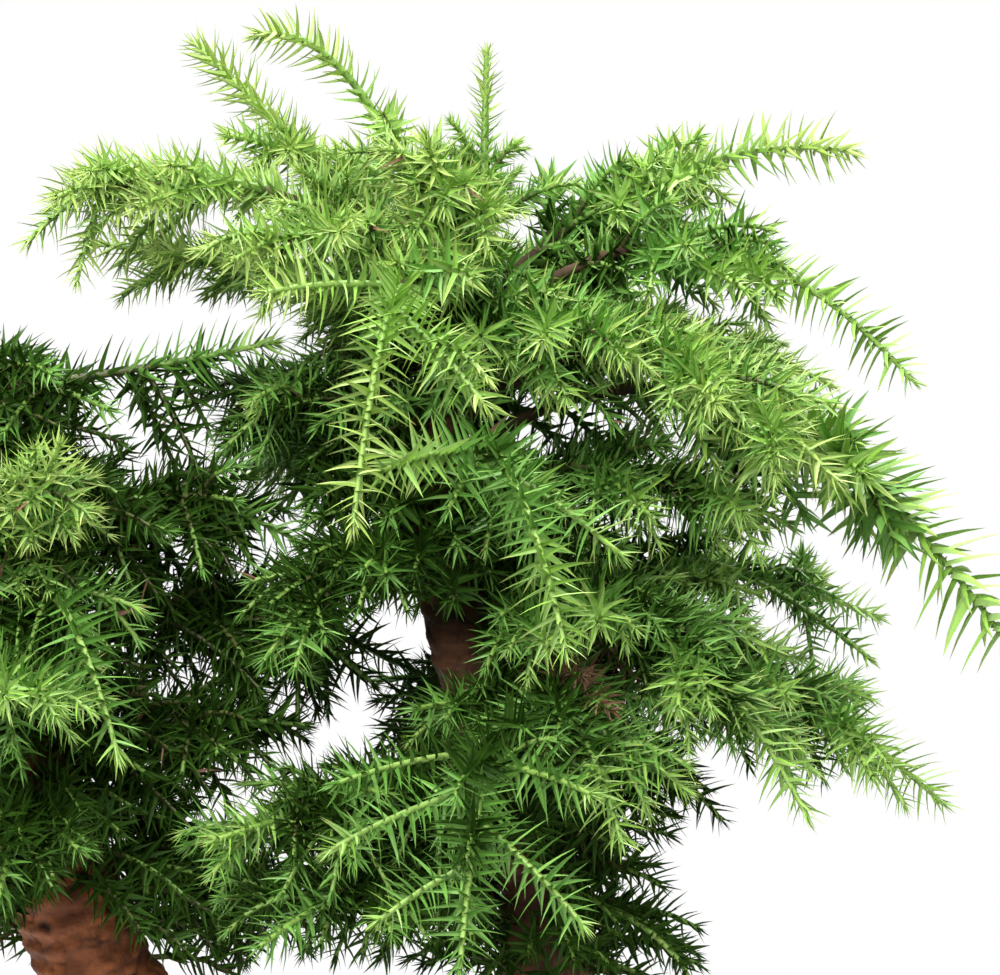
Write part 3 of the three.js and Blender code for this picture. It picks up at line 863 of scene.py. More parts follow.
def make_piece(name, points, faces, finishes, stands_for, face_finish=None, smooth=False):
    mesh = bpy.data.meshes.new(name)
    mesh.from_pydata((np.asarray(points) * MM).tolist(), [], faces)
    for finish in finishes:
        mesh.materials.append(finish.material)
    if face_finish is not None:
        mesh.polygons.foreach_set("material_index", np.asarray(face_finish, dtype=np.int32))
    mesh.polygons.foreach_set("use_smooth", np.full(len(mesh.polygons), smooth))
    mesh.update()
    piece = bpy.data.objects.new(name, mesh)
    bpy.context.collection.objects.link(piece)
    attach(piece, BODY)
    if stands_for:
        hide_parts(*stands_for)
    print(name, sum(len(face) - 2 for face in faces), "triangles")
    return piece


def keep_values(piece, name, values):
    kept = piece.data.attributes.new(name, "FLOAT", "POINT")
    kept.data.foreach_set("value", np.asarray(values, dtype=np.float32))


def ring_faces(rings, sides, first=0):
    """Quads between rings of equal count, facing out when the rings turn anticlockwise."""
    ring, side = np.meshgrid(np.arange(rings - 1), np.arange(sides), indexing="ij")
    here = first + ring * sides + side
    beside = first + ring * sides + (side + 1) % sides
    return np.stack((here, beside, beside + sides, here + sides), axis=-1).reshape(-1, 4)


print("every piece rides on", BODY)

# %% [markdown]
# Hoop pine bark is orange-brown and knobbly. It breaks into plates that are wider than they are tall,
# with dark cracks between, and old leaf bases leave rings round the stem. Bump alone would leave the
# trunk's edge smooth, so the relief is real: each point of a fine grid moves out by a plate pattern,
# a row of hoops, lumps, wrinkles and pits. This step gives the height of the bark at any point.

# %% Bark relief
PLATE_WIDTH = 7.0
PLATE_TALL = 3.6
PLATE_DEPTH = 0.55
CRACK_SHARE = 0.3
SHIFT_SIZE = 9.0
SHIFT_REACH = 3.5
LUMP_SIZE = 13.0
LUMP_DEPTH = 2.1
HOOP_EVERY = 7.5
HOOP_DEPTH = 0.65
HOOP_DRIFT = 1.2
HOOP_DRIFT_SIZE = 39.0
WRINKLE_WIDE = 5.0
WRINKLE_TALL = 1.1
WRINKLE_DEPTH = 0.3
FINER_WRINKLE_SCALE = 2.3
FINER_WRINKLE_SHARE = 0.5
PIT_SIZE = 6.0
PIT_SHIFT = Vector((7, 3, 1))
PIT_START = 0.32
PIT_DEPTH = 2.6
# How pale the bark is between its features, and how much each feature changes that. Paler lumps
# are a painted highlight and darker pits painted shade
PALE_BARK = 0.45
PALE_PLATE, LUMP_HIGHLIGHT, PALE_WRINKLE, PIT_SHADE = 0.35, 0.3, 0.28, 2.2
# Without a seed, Blender's noise vectors differ from run to run, and the plates with them
BARK_SEED = 7
noise.seed_set(BARK_SEED)


def smooth_step(value):
    value = min(1.0, max(0.0, value))
    return value * value * (3 - 2 * value)


def bark_height(point):
    """Height of the bark at a point, in millimetres, and how pale it is from 0, crack, to 1, with a
    painted highlight on the lumps and painted shade in the pits.
    """
    place = Vector(point)
    shifted = place + SHIFT_REACH * noise.noise_vector(place / SHIFT_SIZE)
    cell = Vector((shifted.x / PLATE_WIDTH, shifted.y / PLATE_WIDTH, shifted.z / PLATE_TALL))
    near = noise.voronoi(cell)[0]
    plate = smooth_step((near[1] - near[0]) / CRACK_SHARE)
    lump = noise.noise(place / LUMP_SIZE)
    drift = noise.noise(place / HOOP_DRIFT_SIZE)
    hoop = math.sin(2 * math.pi * (place.z / HOOP_EVERY + HOOP_DRIFT * drift))
    across_grain = Vector((place.x / WRINKLE_WIDE, place.y / WRINKLE_WIDE, place.z / WRINKLE_TALL))
    finer = noise.noise(across_grain * FINER_WRINKLE_SCALE)
    wrinkle = noise.noise(across_grain) + FINER_WRINKLE_SHARE * finer
    pit = max(0.0, noise.noise(shifted / PIT_SIZE + PIT_SHIFT) - PIT_START)
    raised = PLATE_DEPTH * (plate - 1) + LUMP_DEPTH * lump + HOOP_DEPTH * hoop
    raised += WRINKLE_DEPTH * wrinkle - PIT_DEPTH * pit
    # Lumps add a painted highlight and pits painted shade to the pale of the plates and wrinkles
    pale = PALE_BARK + PALE_PLATE * plate + LUMP_HIGHLIGHT * lump + PALE_WRINKLE * wrinkle - PIT_SHADE * pit
    return raised, min(1.0, max(0.0, pale))


sample_heights = [bark_height((x, 0, 0))[0] for x in range(100)]
print("bark is", round(min(sample_heights), 1), "to", round(max(sample_heights), 1), "mm high")

# %% [markdown]
# The plates of the bark are orange where they are raised and nearly black in the cracks, and the
# second trunk is the brighter one: its light tone is raised partly as a painted highlight, and the main
# trunk's tones are darkened partly as painted shade of the crown round it. A noise of its own in the
# finish would put the dark beside the cracks, so the finish reads how pale the bark is from an
# attribute that comes with the relief. Both trunks lay the cracks in the same way, so that is a node
# group too.

# %% Bark finish
BARK_SHINE = 0.22


def plate_cracks_group():
    sockets = {"Plate": "Color", "Crack": "Color", "Mask": "Float"}
    group, given, result = new_group("plate_cracks", sockets, {"Color": "Color"})
    mixed = add_node(group, "Mix", data_type="RGBA")
    join(group, given, "Mask", mixed, "Factor")
    join(group, given, "Crack", mixed, "A")
    join(group, given, "Plate", mixed, "B")
    join(group, mixed, "Result", result, "Color")
    return group


def bark_finish(name, light, dark, crack):
    finish = new_finish(name)
    drift = add_tones(finish, light, dark, scale=65)
    plate = add_node(finish.tree, "Attribute", attribute_name="plate")
    cracked = group_node(finish, plate_cracks, Crack=(*crack, 1))
    join(finish.tree, plate, "Fac", cracked, "Mask")
    join(finish.tree, drift, "Color", cracked, "Plate")
    join(finish.tree, cracked, "Color", finish.shader, "Base Color")
    add_grain(finish, scale=900, smooth=0.45, rough=0.8, strength=0.6, depth=0.0006)
    finish.shader.inputs["Specular IOR Level"].default_value = BARK_SHINE
    return finish


plate_cracks = plate_cracks_group()
# The main trunk stands inside the crown: its tones are darkened partly as painted shade
main_bark = bark_finish(
    "main_bark", light=(0.24, 0.105, 0.052), dark=(0.1, 0.043, 0.023), crack=(0.016, 0.008, 0.005)
)
# The second trunk's light tone is raised partly as a painted highlight on its lumps
second_bark = bark_finish(
    "second_bark", light=(0.47, 0.155, 0.056), dark=(0.125, 0.038, 0.015), crack=(0.018, 0.007, 0.004)
)
print("bark finishes:", main_bark.material.name, second_bark.material.name)

# %% [markdown]
# The trunks are tubes of fine rings round their curves, with a root flare in lobes at the foot and a
# swollen collar where each bough breaks through. A displacement modifier could push the bark out, but
# it would know nothing of the collars. The relief shrinks with the radius, and at the top of each trunk
# the bark darkens to the colour of its cracks.

# %% Trunk bark
FLARE_LOBES = 4
FLARE_LOBE = 0.2
FLARE_TURN = 1
OVAL = 0.04
OVAL_TWIST = 30
COLLAR_WIDTH = 5.0
COLLAR_DEPTH = 1.8
BURIED = 3.0
FULL_BARK_RADIUS = 20.0
LEAST_RELIEF = 0.3
DARKENED_TOP = 30.0
TOP_RISE = 1.0


def trunk_grid(trunk, heights, turns):
    """Points of the bare trunk, its outward directions and its radii, one row a height."""
    height, turn = np.meshgrid(heights, turns, indexing="ij")
    lobe = FLARE_LOBE * np.exp(-np.maximum(0, height) / FLARE_FADE)
    uneven = OVAL * np.cos(2 * turn + height / OVAL_TWIST) + lobe * np.cos(FLARE_LOBES * turn + FLARE_TURN)
    radius = trunk_radius(trunk, height) * (1 + uneven)
    outward = np.stack((np.cos(turn), np.sin(turn), np.zeros_like(turn)), axis=-1)
    return trunk_axis(trunk, height) + radius[..., None] * outward, outward, radius


def bough_collar(bough):
    """Where a bough breaks through the bark of its trunk."""
    controls = bough_controls(bough)
    out_share = float(trunk_radius(TRUNKS[bough.trunk], bough.leaves)) / curve_length(controls)
    return curve_points(controls, out_share)


def trunk_bark(trunk_name, finish, rows, sides):
    trunk = TRUNKS[trunk_name]
    heights = np.linspace(-BURIED, trunk.height, rows)
    turns = np.linspace(0, 2 * math.pi, sides, endpoint=False)
    points, outward, radius = trunk_grid(trunk, heights, turns)
    relief = np.array([bark_height(point) for point in points.reshape(-1, 3)])
    depth = relief[:, 0].reshape(rows, sides) * np.clip(radius / FULL_BARK_RADIUS, LEAST_RELIEF, 1)
    for bough in boughs:
        if bough.trunk == trunk_name:
            gap = np.linalg.norm(points - bough_collar(bough), axis=2)
            depth += COLLAR_DEPTH * np.exp(-((gap / COLLAR_WIDTH) ** 2))
    points = points + outward * depth[..., None]
    top = trunk_axis(trunk, trunk.height + TOP_RISE)
    faces = ring_faces(rows, sides).tolist()
    last = (rows - 1) * sides
    faces += [(last + i, last + (i + 1) % sides, rows * sides) for i in range(sides)]
    vertices = np.concatenate((points.reshape(-1, 3), top[None]))
    node = trunk_name + "_trunk"
    piece = make_piece(node + "_bark", vertices, faces, [finish], [node], smooth=True)
    # Over the top of each trunk the pale of the plates fades out, so the bark darkens to its crack colour
    grown = np.clip((trunk.height - np.repeat(heights, sides)) / DARKENED_TOP, 0, 1)
    keep_values(piece, "plate", np.append(relief[:, 1] * grown, 0.0))


trunk_bark("main", main_bark, rows=280, sides=88)
trunk_bark("second", second_bark, rows=260, sides=100)

# %% [markdown]
# The boughs carry the same bark on a smaller scale over their bare part and the first fifth of the
# leading shoot. Their rings of old leaf bases are closer together. A bevelled curve would give them an
# even skin, so they are rings of points again, with hoops and lumps. One joined mesh holds all of
# them, and its tubes start inside the trunk so that no gap shows at the collar.

# %% Woody boughs
WOODY_SHARE = 0.2
BOUGH_SIDES = 10
BOUGH_RING = 1.4
FEWEST_BOUGH_RINGS = 8
BOUGH_HOOP_EVERY = 3.4
BOUGH_HOOP_DEPTH = 0.16
BOUGH_LUMP_SIZE = 3.0
BOUGH_LUMP_DEPTH = 0.35
SHOOT_FOOT_RADIUS = 1.35


def tube_rings(controls, shares, radii, sides):
    """Rings round a stretch of a curve. The radii may differ from ring to ring and round each ring."""
    level, rising = across(curve_headings(controls, shares))
    turns = np.linspace(0, 2 * math.pi, sides, endpoint=False)
    round_level = level[:, None] * np.cos(turns)[None, :, None]
    round_rising = rising[:, None] * np.sin(turns)[None, :, None]
    return curve_points(controls, shares)[:, None] + (round_level + round_rising) * radii[..., None]


def woody_end(bough):
    return bough.bare + (1 - bough.bare) * WOODY_SHARE


def woody_bough(bough):
    controls = bough_controls(bough)
    length = curve_length(controls) * woody_end(bough)
    rings = max(FEWEST_BOUGH_RINGS, int(length / BOUGH_RING))
    shares = np.linspace(0, woody_end(bough), rings)
    radius = blend_values(bough_root_radius(bough), SHOOT_FOOT_RADIUS, shares / woody_end(bough))
    radii = np.repeat(radius[:, None], BOUGH_SIDES, axis=1)
    smooth_points = tube_rings(controls, shares, radii, BOUGH_SIDES).reshape(-1, 3)
    lumps = np.reshape([noise.noise(Vector(p) / BOUGH_LUMP_SIZE) for p in smooth_points], radii.shape)
    hoops = np.sin(2 * math.pi * (np.arange(rings) * BOUGH_RING) / BOUGH_HOOP_EVERY)
    radii = radii + BOUGH_HOOP_DEPTH * hoops[:, None] + BOUGH_LUMP_DEPTH * lumps
    return tube_rings(controls, shares, radii, BOUGH_SIDES)


bough_points = []
bough_faces = []
for bough in boughs:
    rings = woody_bough(bough)
    bough_faces += ring_faces(len(rings), BOUGH_SIDES, len(bough_points)).tolist()
    bough_points += rings.reshape(-1, 3).tolist()
# The bough bark is darkened partly as painted shade, so that bare limbs read as shadow in the crown
shaded_twig_bark = new_finish("bough_bark")
add_tones(shaded_twig_bark, light=(0.085, 0.052, 0.026), dark=(0.036, 0.024, 0.013), scale=160)
add_grain(shaded_twig_bark, scale=1400, smooth=0.6, rough=0.95, strength=0.5, depth=0.0004)
shaded_twig_bark.shader.inputs["Specular IOR Level"].default_value = BARK_SHINE
make_piece("woody_boughs", bough_points, bough_faces, [shaded_twig_bark], LIMB_NODES, smooth=True)

# %% [markdown]
# A young shoot has no bark: its stem is green, nearly yellow at the tip, and ribbed by the feet of its
# needles. The stems are thin tubes that swell at every other ring. The green is dealt out along the
# stem as three plain finishes, from woody brown at the foot to yellow-green at the tip. Shoots deep
# inside get fewer sides and rings, because needles hide them.

# %% Green stems
# These lists have one value for each order of shoot, from the leading one to the inner finer ones
STEM_SIDES = (6, 5, 4, 3)
STEM_RINGS = (2.0, 2.4, 3.2, 4.5)
STEM_YOUTH = (0.75, 0.95, 0.9, 0.2)
FOOT_RADII = (SHOOT_FOOT_RADIUS, 1.1, 0.9, 0.95)
FEWEST_STEM_RINGS = 4
STEM_TIP_RADIUS = 0.65
STEM_SWELL = 0.06
STEM_OVERLAP = 0.02
# Youth, lowered as painted shade on shaded boughs, picks the finish of a stretch of stem: old below 1,
# green below 2 and young from there on
YOUTH_ALONG = 1.3
YOUTH_LUCK = 0.3
YOUTH_MOST = 2.4
# A habit shifts the age of its stems: comb, stout and sparse boughs get greener stems, and the older,
# darker stems of the shaded and hanging boughs are painted shade
HABIT_YOUTH_AND_SHADE = {"comb": 0.5, "stout": 0.5, "shaded": -0.9, "hanging": -0.6, "sparse": 0.2}


def stem_tube(shoot):
    """Rings of points along the stem of a shoot, and the finish of each stretch between two rings."""
    sides = STEM_SIDES[shoot.order]
    first_share = woody_end(shoot.bough) - STEM_OVERLAP if shoot.order == LEADING else 0
    length = curve_length(shoot.controls) * (1 - first_share)
    rings = max(FEWEST_STEM_RINGS, int(length / STEM_RINGS[shoot.order]))
    along = np.linspace(0, 1, rings)
    radius = blend_values(FOOT_RADII[shoot.order], STEM_TIP_RADIUS, along)
    swell = 1 + STEM_SWELL * (np.arange(rings) % 2)
    radii = np.repeat((radius * swell)[:, None], sides, axis=1)
    tube = tube_rings(shoot.controls, np.linspace(first_share, 1, rings), radii, sides)
    youth_and_shade = along[:-1] * YOUTH_ALONG + STEM_YOUTH[shoot.order] + YOUTH_LUCK * chance(shoot.seed)
    youth_and_shade = np.clip(youth_and_shade + HABIT_YOUTH_AND_SHADE.get(habit_names[shoot.bough.name], 0), 0, YOUTH_MOST)
    return tube, youth_and_shade.astype(int)


def stem_finish(name, light, dark):
    finish = new_finish(name)
    add_tones(finish, light, dark, scale=220)
    add_grain(finish, scale=1200, smooth=0.35, rough=0.6, strength=0.3, depth=0.0002)
    return finish


stem_finishes = [
    # The old finish serves woody stem feet and the painted shade of shaded stems
    stem_finish("old_stem_and_shade", light=(0.085, 0.11, 0.025), dark=(0.06, 0.06, 0.018)),
    stem_finish("green_stem", light=(0.17, 0.3, 0.05), dark=(0.11, 0.22, 0.035)),
    stem_finish("young_stem", light=(0.26, 0.41, 0.08), dark=(0.19, 0.33, 0.06)),
]
stem_points = []
stem_faces = []
stem_tints = []
for shoot in all_shoots:
    tube, tints = stem_tube(shoot)
    rings, sides, _ = tube.shape
    stem_faces += ring_faces(rings, sides, len(stem_points)).tolist()
    stem_points += tube.reshape(-1, 3).tolist()
    stem_tints += np.repeat(tints, sides).tolist()
make_piece("shoot_stems", stem_points, stem_faces, stem_finishes, [], stem_tints, smooth=True)

# %% [markdown]
# The needles are what one sees first: slim blades about twelve millimetres long, sharp at the tip and
# bent a little towards the end of the shoot. They stand in ranks along it, wide apart or close as the
# bough's habit says, and the last ones close over the bud as a short rosette. Particles would be
# quicker to set up, but they don't survive an export, so this step works out where every needle sits.

# %% Needles along a shoot
# The lists have one value for each order of shoot
NEEDLE_LENGTHS = (12.6, 12.0, 10.8, 11.6)
NEEDLE_PITCHES = (1.0, 1.0, 1.05, 1.1)
BUD_NEEDLES = (14, 12, 8, 5)
TIP_ZONE = 11.0
TIP_SPREAD = 0.8
TIP_SPREAD_CURVE = 1.6
TIP_LENGTH_SHARE = 0.56
TIP_LENGTH_CURVE = 1.4
BUD_ZONE = 0.03
BUD_SPREADS = (0.95, 0.15)
BUD_LENGTH_SHARE = 0.42
SPREAD_LUCK = 0.09
LENGTH_LUCK = (0.82, 1.15)
TURN_LUCK = 0.12
FIRST_TURN = 6
SCATTER_SEED = 20
Needles = namedtuple("Needles", "seat heading forward length width along shoot")
random = np.random.default_rng(SCATTER_SEED)


def shoot_needles(shoot, number):
    """The needles on one shoot, first the ones along it and then the ones round its bud."""
    habit = habit_of(shoot.bough)
    length = curve_length(shoot.controls) * (1 - shoot.start)
    count = int(length / (NEEDLE_PITCHES[shoot.order] * habit.pitch))
    bud_share = np.linspace(0, 1, BUD_NEEDLES[shoot.order])
    along = np.concatenate(((np.arange(count) + 0.5) / count, 1 - BUD_ZONE * (1 - bud_share)))
    near_tip = np.clip(1 - (1 - along[:count]) * length / TIP_ZONE, 0, 1)
    stem_spread = blend_values(habit.spread, TIP_SPREAD, near_tip**TIP_SPREAD_CURVE)
    spread = np.concatenate((stem_spread, blend_values(*BUD_SPREADS, bud_share)))
    spread = spread + random.normal(0, SPREAD_LUCK, len(along))
    stem_reach = blend_values(1, TIP_LENGTH_SHARE, near_tip**TIP_LENGTH_CURVE)
    reach = np.concatenate((stem_reach, np.full(len(bud_share), BUD_LENGTH_SHARE)))
    reach = reach * habit.length * NEEDLE_LENGTHS[shoot.order] * random.uniform(*LENGTH_LUCK, len(along))
    shares = blend_values(shoot.start, 1, along)
    forward = curve_headings(shoot.controls, shares)
    level, rising = across(forward)
    turn = habit.turn * np.arange(len(along)) + FIRST_TURN * chance(shoot.seed + 3)
    turn = turn + random.normal(0, TURN_LUCK, len(along))
    outward = level * np.cos(turn)[:, None] + rising * np.sin(turn)[:, None]
    heading = outward * np.sin(spread)[:, None] + forward * np.cos(spread)[:, None]
    seat = curve_points(shoot.controls, shares)
    width = np.full(len(along), habit.width)
    return Needles(seat, heading, forward, reach, width, along, np.full(len(along), number))


tables = [shoot_needles(shoot, number) for number, shoot in enumerate(all_shoots)]
print(sum(len(table.length) for table in tables), "needles on", len(tables), "shoots")

# %% [markdown]
# A needle that starts inside a trunk or points into a limb would stick out of the bark. Cutting the
# meshes with each other would be slow, so such needles are left out: the foot, a point past the middle
# and the tip of each are compared with the beads.

# %% Needles clear of the bark
CLEAR_OF_BARK = 0.4
SUNK_SEAT = -0.5
TESTED_PARTS = (0.55, 1.0)


def pick(table, chosen):
    return Needles(*(values[chosen] for values in table))


def clear_of_limbs(table):
    """Which needles neither start in a trunk nor point into a limb."""
    free = room_beside_limbs(table.seat, trunk_bead_count) > SUNK_SEAT
    for part in TESTED_PARTS:
        point = table.seat + table.heading * (table.length * part)[:, None]
        free = free & (room_beside_limbs(point) > CLEAR_OF_BARK)
    return free


tables = [pick(table, clear_of_limbs(table)) for table in tables]
needles = Needles(*(np.concatenate(values) for values in zip(*tables)))
print(len(needles.length), "needles stand clear of the limbs")

# %% [markdown]
# Needles are waxy and change with age: grown ones are a mid green, the newest are yellow-green with
# pale points, and a few are dry and brown. The darkest tint, deep, is painted shade for the inside of
# the crown, and which of the others a needle gets is partly painted light. Every tint has two tones, a
# painted lit half and a painted shaded half, because one side of a folded needle always catches more
# light. A pattern in one finish could not know which needle it falls on, so each tone is a finish of
# its own.

# %% Needle finishes
# Each tint: its painted shaded half, then its painted lit half. Deep is painted shade for the inner crown
NEEDLE_TINTS = {
    "deep": ((0.022, 0.06, 0.006), (0.042, 0.1, 0.012)),
    "grown": ((0.115, 0.285, 0.04), (0.185, 0.38, 0.075)),
    "lit_and_fresh": ((0.235, 0.435, 0.06), (0.32, 0.505, 0.14)),
    "new": ((0.35, 0.52, 0.1), (0.42, 0.57, 0.17)),
    "dry": ((0.2, 0.105, 0.055), (0.27, 0.16, 0.1)),
}
# The paler point on a lit half: partly the yellow tip of a young needle, partly painted highlight
PALE_POINT = (0.4, 0.49, 0.14)
TONE_DRIFT = 0.8
NEEDLE_SHINE = 0.35
NEEDLE_ROUGHNESS = 0.45


def needle_finish(name, tone):
    """A waxy finish. The shine grows with the tone, so the darker tints shine less and the painted shade
    of the deep needles stays dark.
    """
    finish = new_finish(name)
    add_tones(finish, tone, tuple(TONE_DRIFT * value for value in tone), scale=130)
    finish.shader.inputs["Roughness"].default_value = NEEDLE_ROUGHNESS
    finish.shader.inputs["Specular IOR Level"].default_value = min(NEEDLE_SHINE, tone[1])
    return finish


needle_finishes = []
# The first tone of a tint is its painted shaded half, the second its painted lit half
for tint_name, (shaded_tone, lit_tone) in NEEDLE_TINTS.items():
    needle_finishes.append(needle_finish(tint_name + "_needle", shaded_tone))
    needle_finishes.append(needle_finish(tint_name + "_needle_lit_half", lit_tone))
needle_finishes.append(needle_finish("needle_point", PALE_POINT))
print(len(needle_finishes), "needle finishes")

# %% [markdown]
# Light decides which needle has which tint, and it is painted into the colour. A needle is painted
# lighter the further it stands from its trunk and the higher it grows, and darker on the finer shoots
# inside and on a bough in the shade of others. Near its shoot's tip it is younger, and whole sprays
# differ by luck. Painting by hand would take days, so a sum of these shares is cut into steps, and
# the steps are the tints.

# %% Needle tints
TINT_NAMES = list(NEEDLE_TINTS)
TINT_STEPS = (0.3, 0.54, 0.84)
LIT_AND_FRESH_BASE = 0.01
LIT_FURTHER_OUT, LIT_HIGHER, FRESH_TIP, FRESH_LUCK = 0.32, 0.48, 0.24, 0.22
CROWN_DEPTH = 95.0
CROWN_FOOT = 150
CROWN_HEIGHT = 250
# How much painted shade darkens each order of shoot, and how much of that the height takes away
SHADED = np.array((0.0, 0.02, 0.1, 0.36))
SHADE_LIFTED = 0.7
DRY_SHARE = 0.006
DRY_DEPTH = 0.6
# Where the camera sees a withered tuft
DRY_TUFTS = ((55, 218, 9, 9),)
DRY_FRONT = -20
# Painted light by bough: how much lighter the sunniest boughs are, and how much darker the ones in
# the shade of others
BOUGH_SUN = {
    "second_right_high": -0.2, "second_right_mid": -0.25, "second_right_under": -0.35,
    "second_right_back": -0.4, "second_right_low": -0.35, "second_back": -0.2, "left_back_mid": -0.15,
    "right_low": -0.2, "right_back_under": -0.25, "back_low": -0.2, "left_front_mid": -0.15,
    "front_centre_high": 0.16, "front_centre": 0.02, "front_right_high": 0.1, "second_front_high": 0.42,
    "second_front": 0.2, "second_front_right": -0.04, "second_front_low": -0.06, "front_left_under": -0.15,
    "right_low_far": 0.1, "right_front_low": 0.04, "front_low": -0.05, "top_front": 0.22, "top_left": 0.14,
    "left_high": 0.1, "left_under_high": 0.08, "front_left_high": 0.08, "top_back_left": 0.12,
    "top_spire": 0.14, "right_high_back": 0.03, "back_right_high": 0.16, "right_high": -0.08,
    "right_back_mid": 0.05, "right_front_mid": 0.05, "right_far": -0.1, "front_right_low": 0.06,
}


def withered_shoots():
    """Which finer shoots end inside one of the dry tufts, in front of the trunk."""
    tips = np.array([shoot.controls[2] for shoot in all_shoots])
    return seen_in(tips, DRY_TUFTS) & (shoot_orders >= OUTER_FINE) & (tips[:, 1] < DRY_FRONT)


def needle_tints(table):
    luck = np.array([chance(shoot.seed + 9) for shoot in all_shoots])[table.shoot]
    sun = np.array([BOUGH_SUN.get(shoot.bough.name, 0) for shoot in all_shoots])[table.shoot]
    on_main = np.array([shoot.bough.trunk == "main" for shoot in all_shoots])[table.shoot]
    out = np.where(on_main, trunk_distance(table.seat, "main"), trunk_distance(table.seat, "second"))
    outness = np.clip(out / CROWN_DEPTH, 0, 1)
    height = np.clip((table.seat[:, 2] - CROWN_FOOT) / CROWN_HEIGHT, 0, 1)
    # Painted light and shade: distance out, height, the bough's sun and the shade of finer shoots; the
    # share at the tip is youth, and the luck goes by spray
    lit_and_fresh = LIT_AND_FRESH_BASE + LIT_FURTHER_OUT * outness + LIT_HIGHER * height + FRESH_LUCK * (luck - 0.5)
    lit_and_fresh = lit_and_fresh + sun + FRESH_TIP * table.along**2
    lit_and_fresh = lit_and_fresh - SHADED[shoot_orders[table.shoot]] * (1 - SHADE_LIFTED * height)
    dry = (random.random(len(lit_and_fresh)) < DRY_SHARE) & (outness < DRY_DEPTH)
    dry = dry | withered_shoots()[table.shoot]
    return np.where(dry, TINT_NAMES.index("dry"), np.digitize(lit_and_fresh, TINT_STEPS))


tints = needle_tints(needles)
print(withered_shoots().sum(), "withered shoots")
print("needles a tint:", dict(zip(TINT_NAMES, np.bincount(tints, minlength=len(TINT_NAMES)).tolist())))

# %% [markdown]
# A blade is a folded strip: rings of three points, left edge, keel and right edge, and a sharp tip.
# Needles that show have three rings and ten triangles, and the ones deep inside have two rings and
# six. Working on all needles at once keeps this fast: every line handles arrays with one row a needle.

# %% Needle blades
WIDTH_SHARE = 0.118
WIDTH_LUCK = (0.85, 1.15)
KEEL_SHARE = 0.28
FORWARD_BEND = 0.13
SICKLE_BEND = 0.07
ROLL = 0.5
Blade = namedtuple("Blade", "stations widths broad")
SHOWN_BLADE = Blade((0.0, 0.3, 0.66), (1.15, 0.92, 0.5), 1.0)
INNER_BLADE = Blade((0.0, 0.45), (1.1, 0.85), 1.1)


def blade_points(table, blade):
    """All points of all needles, one row a needle: rings of three and then the tip."""
    side = unit(np.cross(table.forward, table.heading))
    over = np.cross(table.heading, side)
    sickle = random.normal(0, SICKLE_BEND, len(side))
    bend = over * FORWARD_BEND + side * sickle[:, None]
    roll = random.normal(0, ROLL, len(side))[:, None]
    edge_way = side * np.cos(roll) + over * np.sin(roll)
    keel_way = side * np.sin(roll) - over * np.cos(roll)
    uneven = random.uniform(*WIDTH_LUCK, len(side))
    broad = table.length * table.width * WIDTH_SHARE * blade.broad * uneven
    points = []
    for share, wide in zip(blade.stations, blade.widths):
        spine = table.seat + table.length[:, None] * (table.heading * share + bend * share**2)
        half = edge_way * (broad * wide / 2)[:, None]
        keel = keel_way * (broad * wide * KEEL_SHARE)[:, None]
        points += [spine + half, spine + keel, spine - half]
    points.append(table.seat + table.length[:, None] * (table.heading + bend))
    return np.stack(points, axis=1)


print("a blade has", len(SHOWN_BLADE.stations), "rings, inside", len(INNER_BLADE.stations))

# %% [markdown]
# All blades of a kind have the same faces, so these are written once and shifted for each needle. A
# material of its own for each needle would be far too many, so every face gets the number of a finish:
# one half of a blade is painted lit and the other painted shaded, and the brighter blades have a paler
# point on the lit half.

# %% Faces of a blade
POINTED_TINTS = (TINT_NAMES.index("lit_and_fresh"), TINT_NAMES.index("new"))


def blade_faces(blade):
    """The faces of one needle, first the half painted lit and then the half painted shaded."""
    last = 3 * (len(blade.stations) - 1)
    faces = []
    for edge in (0, 1):
        faces += [(start, start + 1, start + 4, start + 3) for start in range(edge, last, 3)]
        faces.append((last + edge, last + edge + 1, last + 3))
    return faces


def blade_finishes(tint, rings):
    """The finish of each face of a needle: a painted lit half with a paler point, and a painted shaded
    half.
    """
    pale = 2 * tint + 1
    dark = 2 * tint
    point = np.where(np.isin(tint, POINTED_TINTS), len(needle_finishes) - 1, pale)
    return np.stack([pale] * (rings - 1) + [point] + [dark] * rings, axis=1)


def needle_mesh(chosen, blade, first):
    """Points, faces and finishes of the chosen needles, numbered from a first point."""
    points = blade_points(pick(needles, chosen), blade)
    starts = (first + np.arange(len(points)) * points.shape[1]).tolist()
    one = blade_faces(blade)
    faces = [tuple(start + corner for corner in face) for start in starts for face in one]
    return points.reshape(-1, 3), faces, blade_finishes(tints[chosen], len(blade.stations)).reshape(-1)


print("a blade has", len(blade_faces(SHOWN_BLADE)), "faces, inside", len(blade_faces(INNER_BLADE)))

# %% [markdown]
# The needles are joined into one piece for each zone of the crown. One mesh for all of them would be
# too heavy to handle, and one a bough would leave dozens of pieces to pick from. Each piece stands for
# the masses of its zone.

# %% Needles by zone
SECOND_HIGH = 170
TOP_FROM = 240
FRONT_HALF = 50
BACK_FROM = 130


def zone_of(bough):
    if bough.trunk == "second":
        return "second_high" if bough.leaves > SECOND_HIGH else "second_low"
    if bough.leaves > TOP_FROM:
        return "top_right" if bough.bearing > 0 else "top_left"
    if abs(bough.bearing) < FRONT_HALF:
        return "front"
    if abs(bough.bearing) > BACK_FROM:
        return "back"
    return "right" if bough.bearing > 0 else "left"


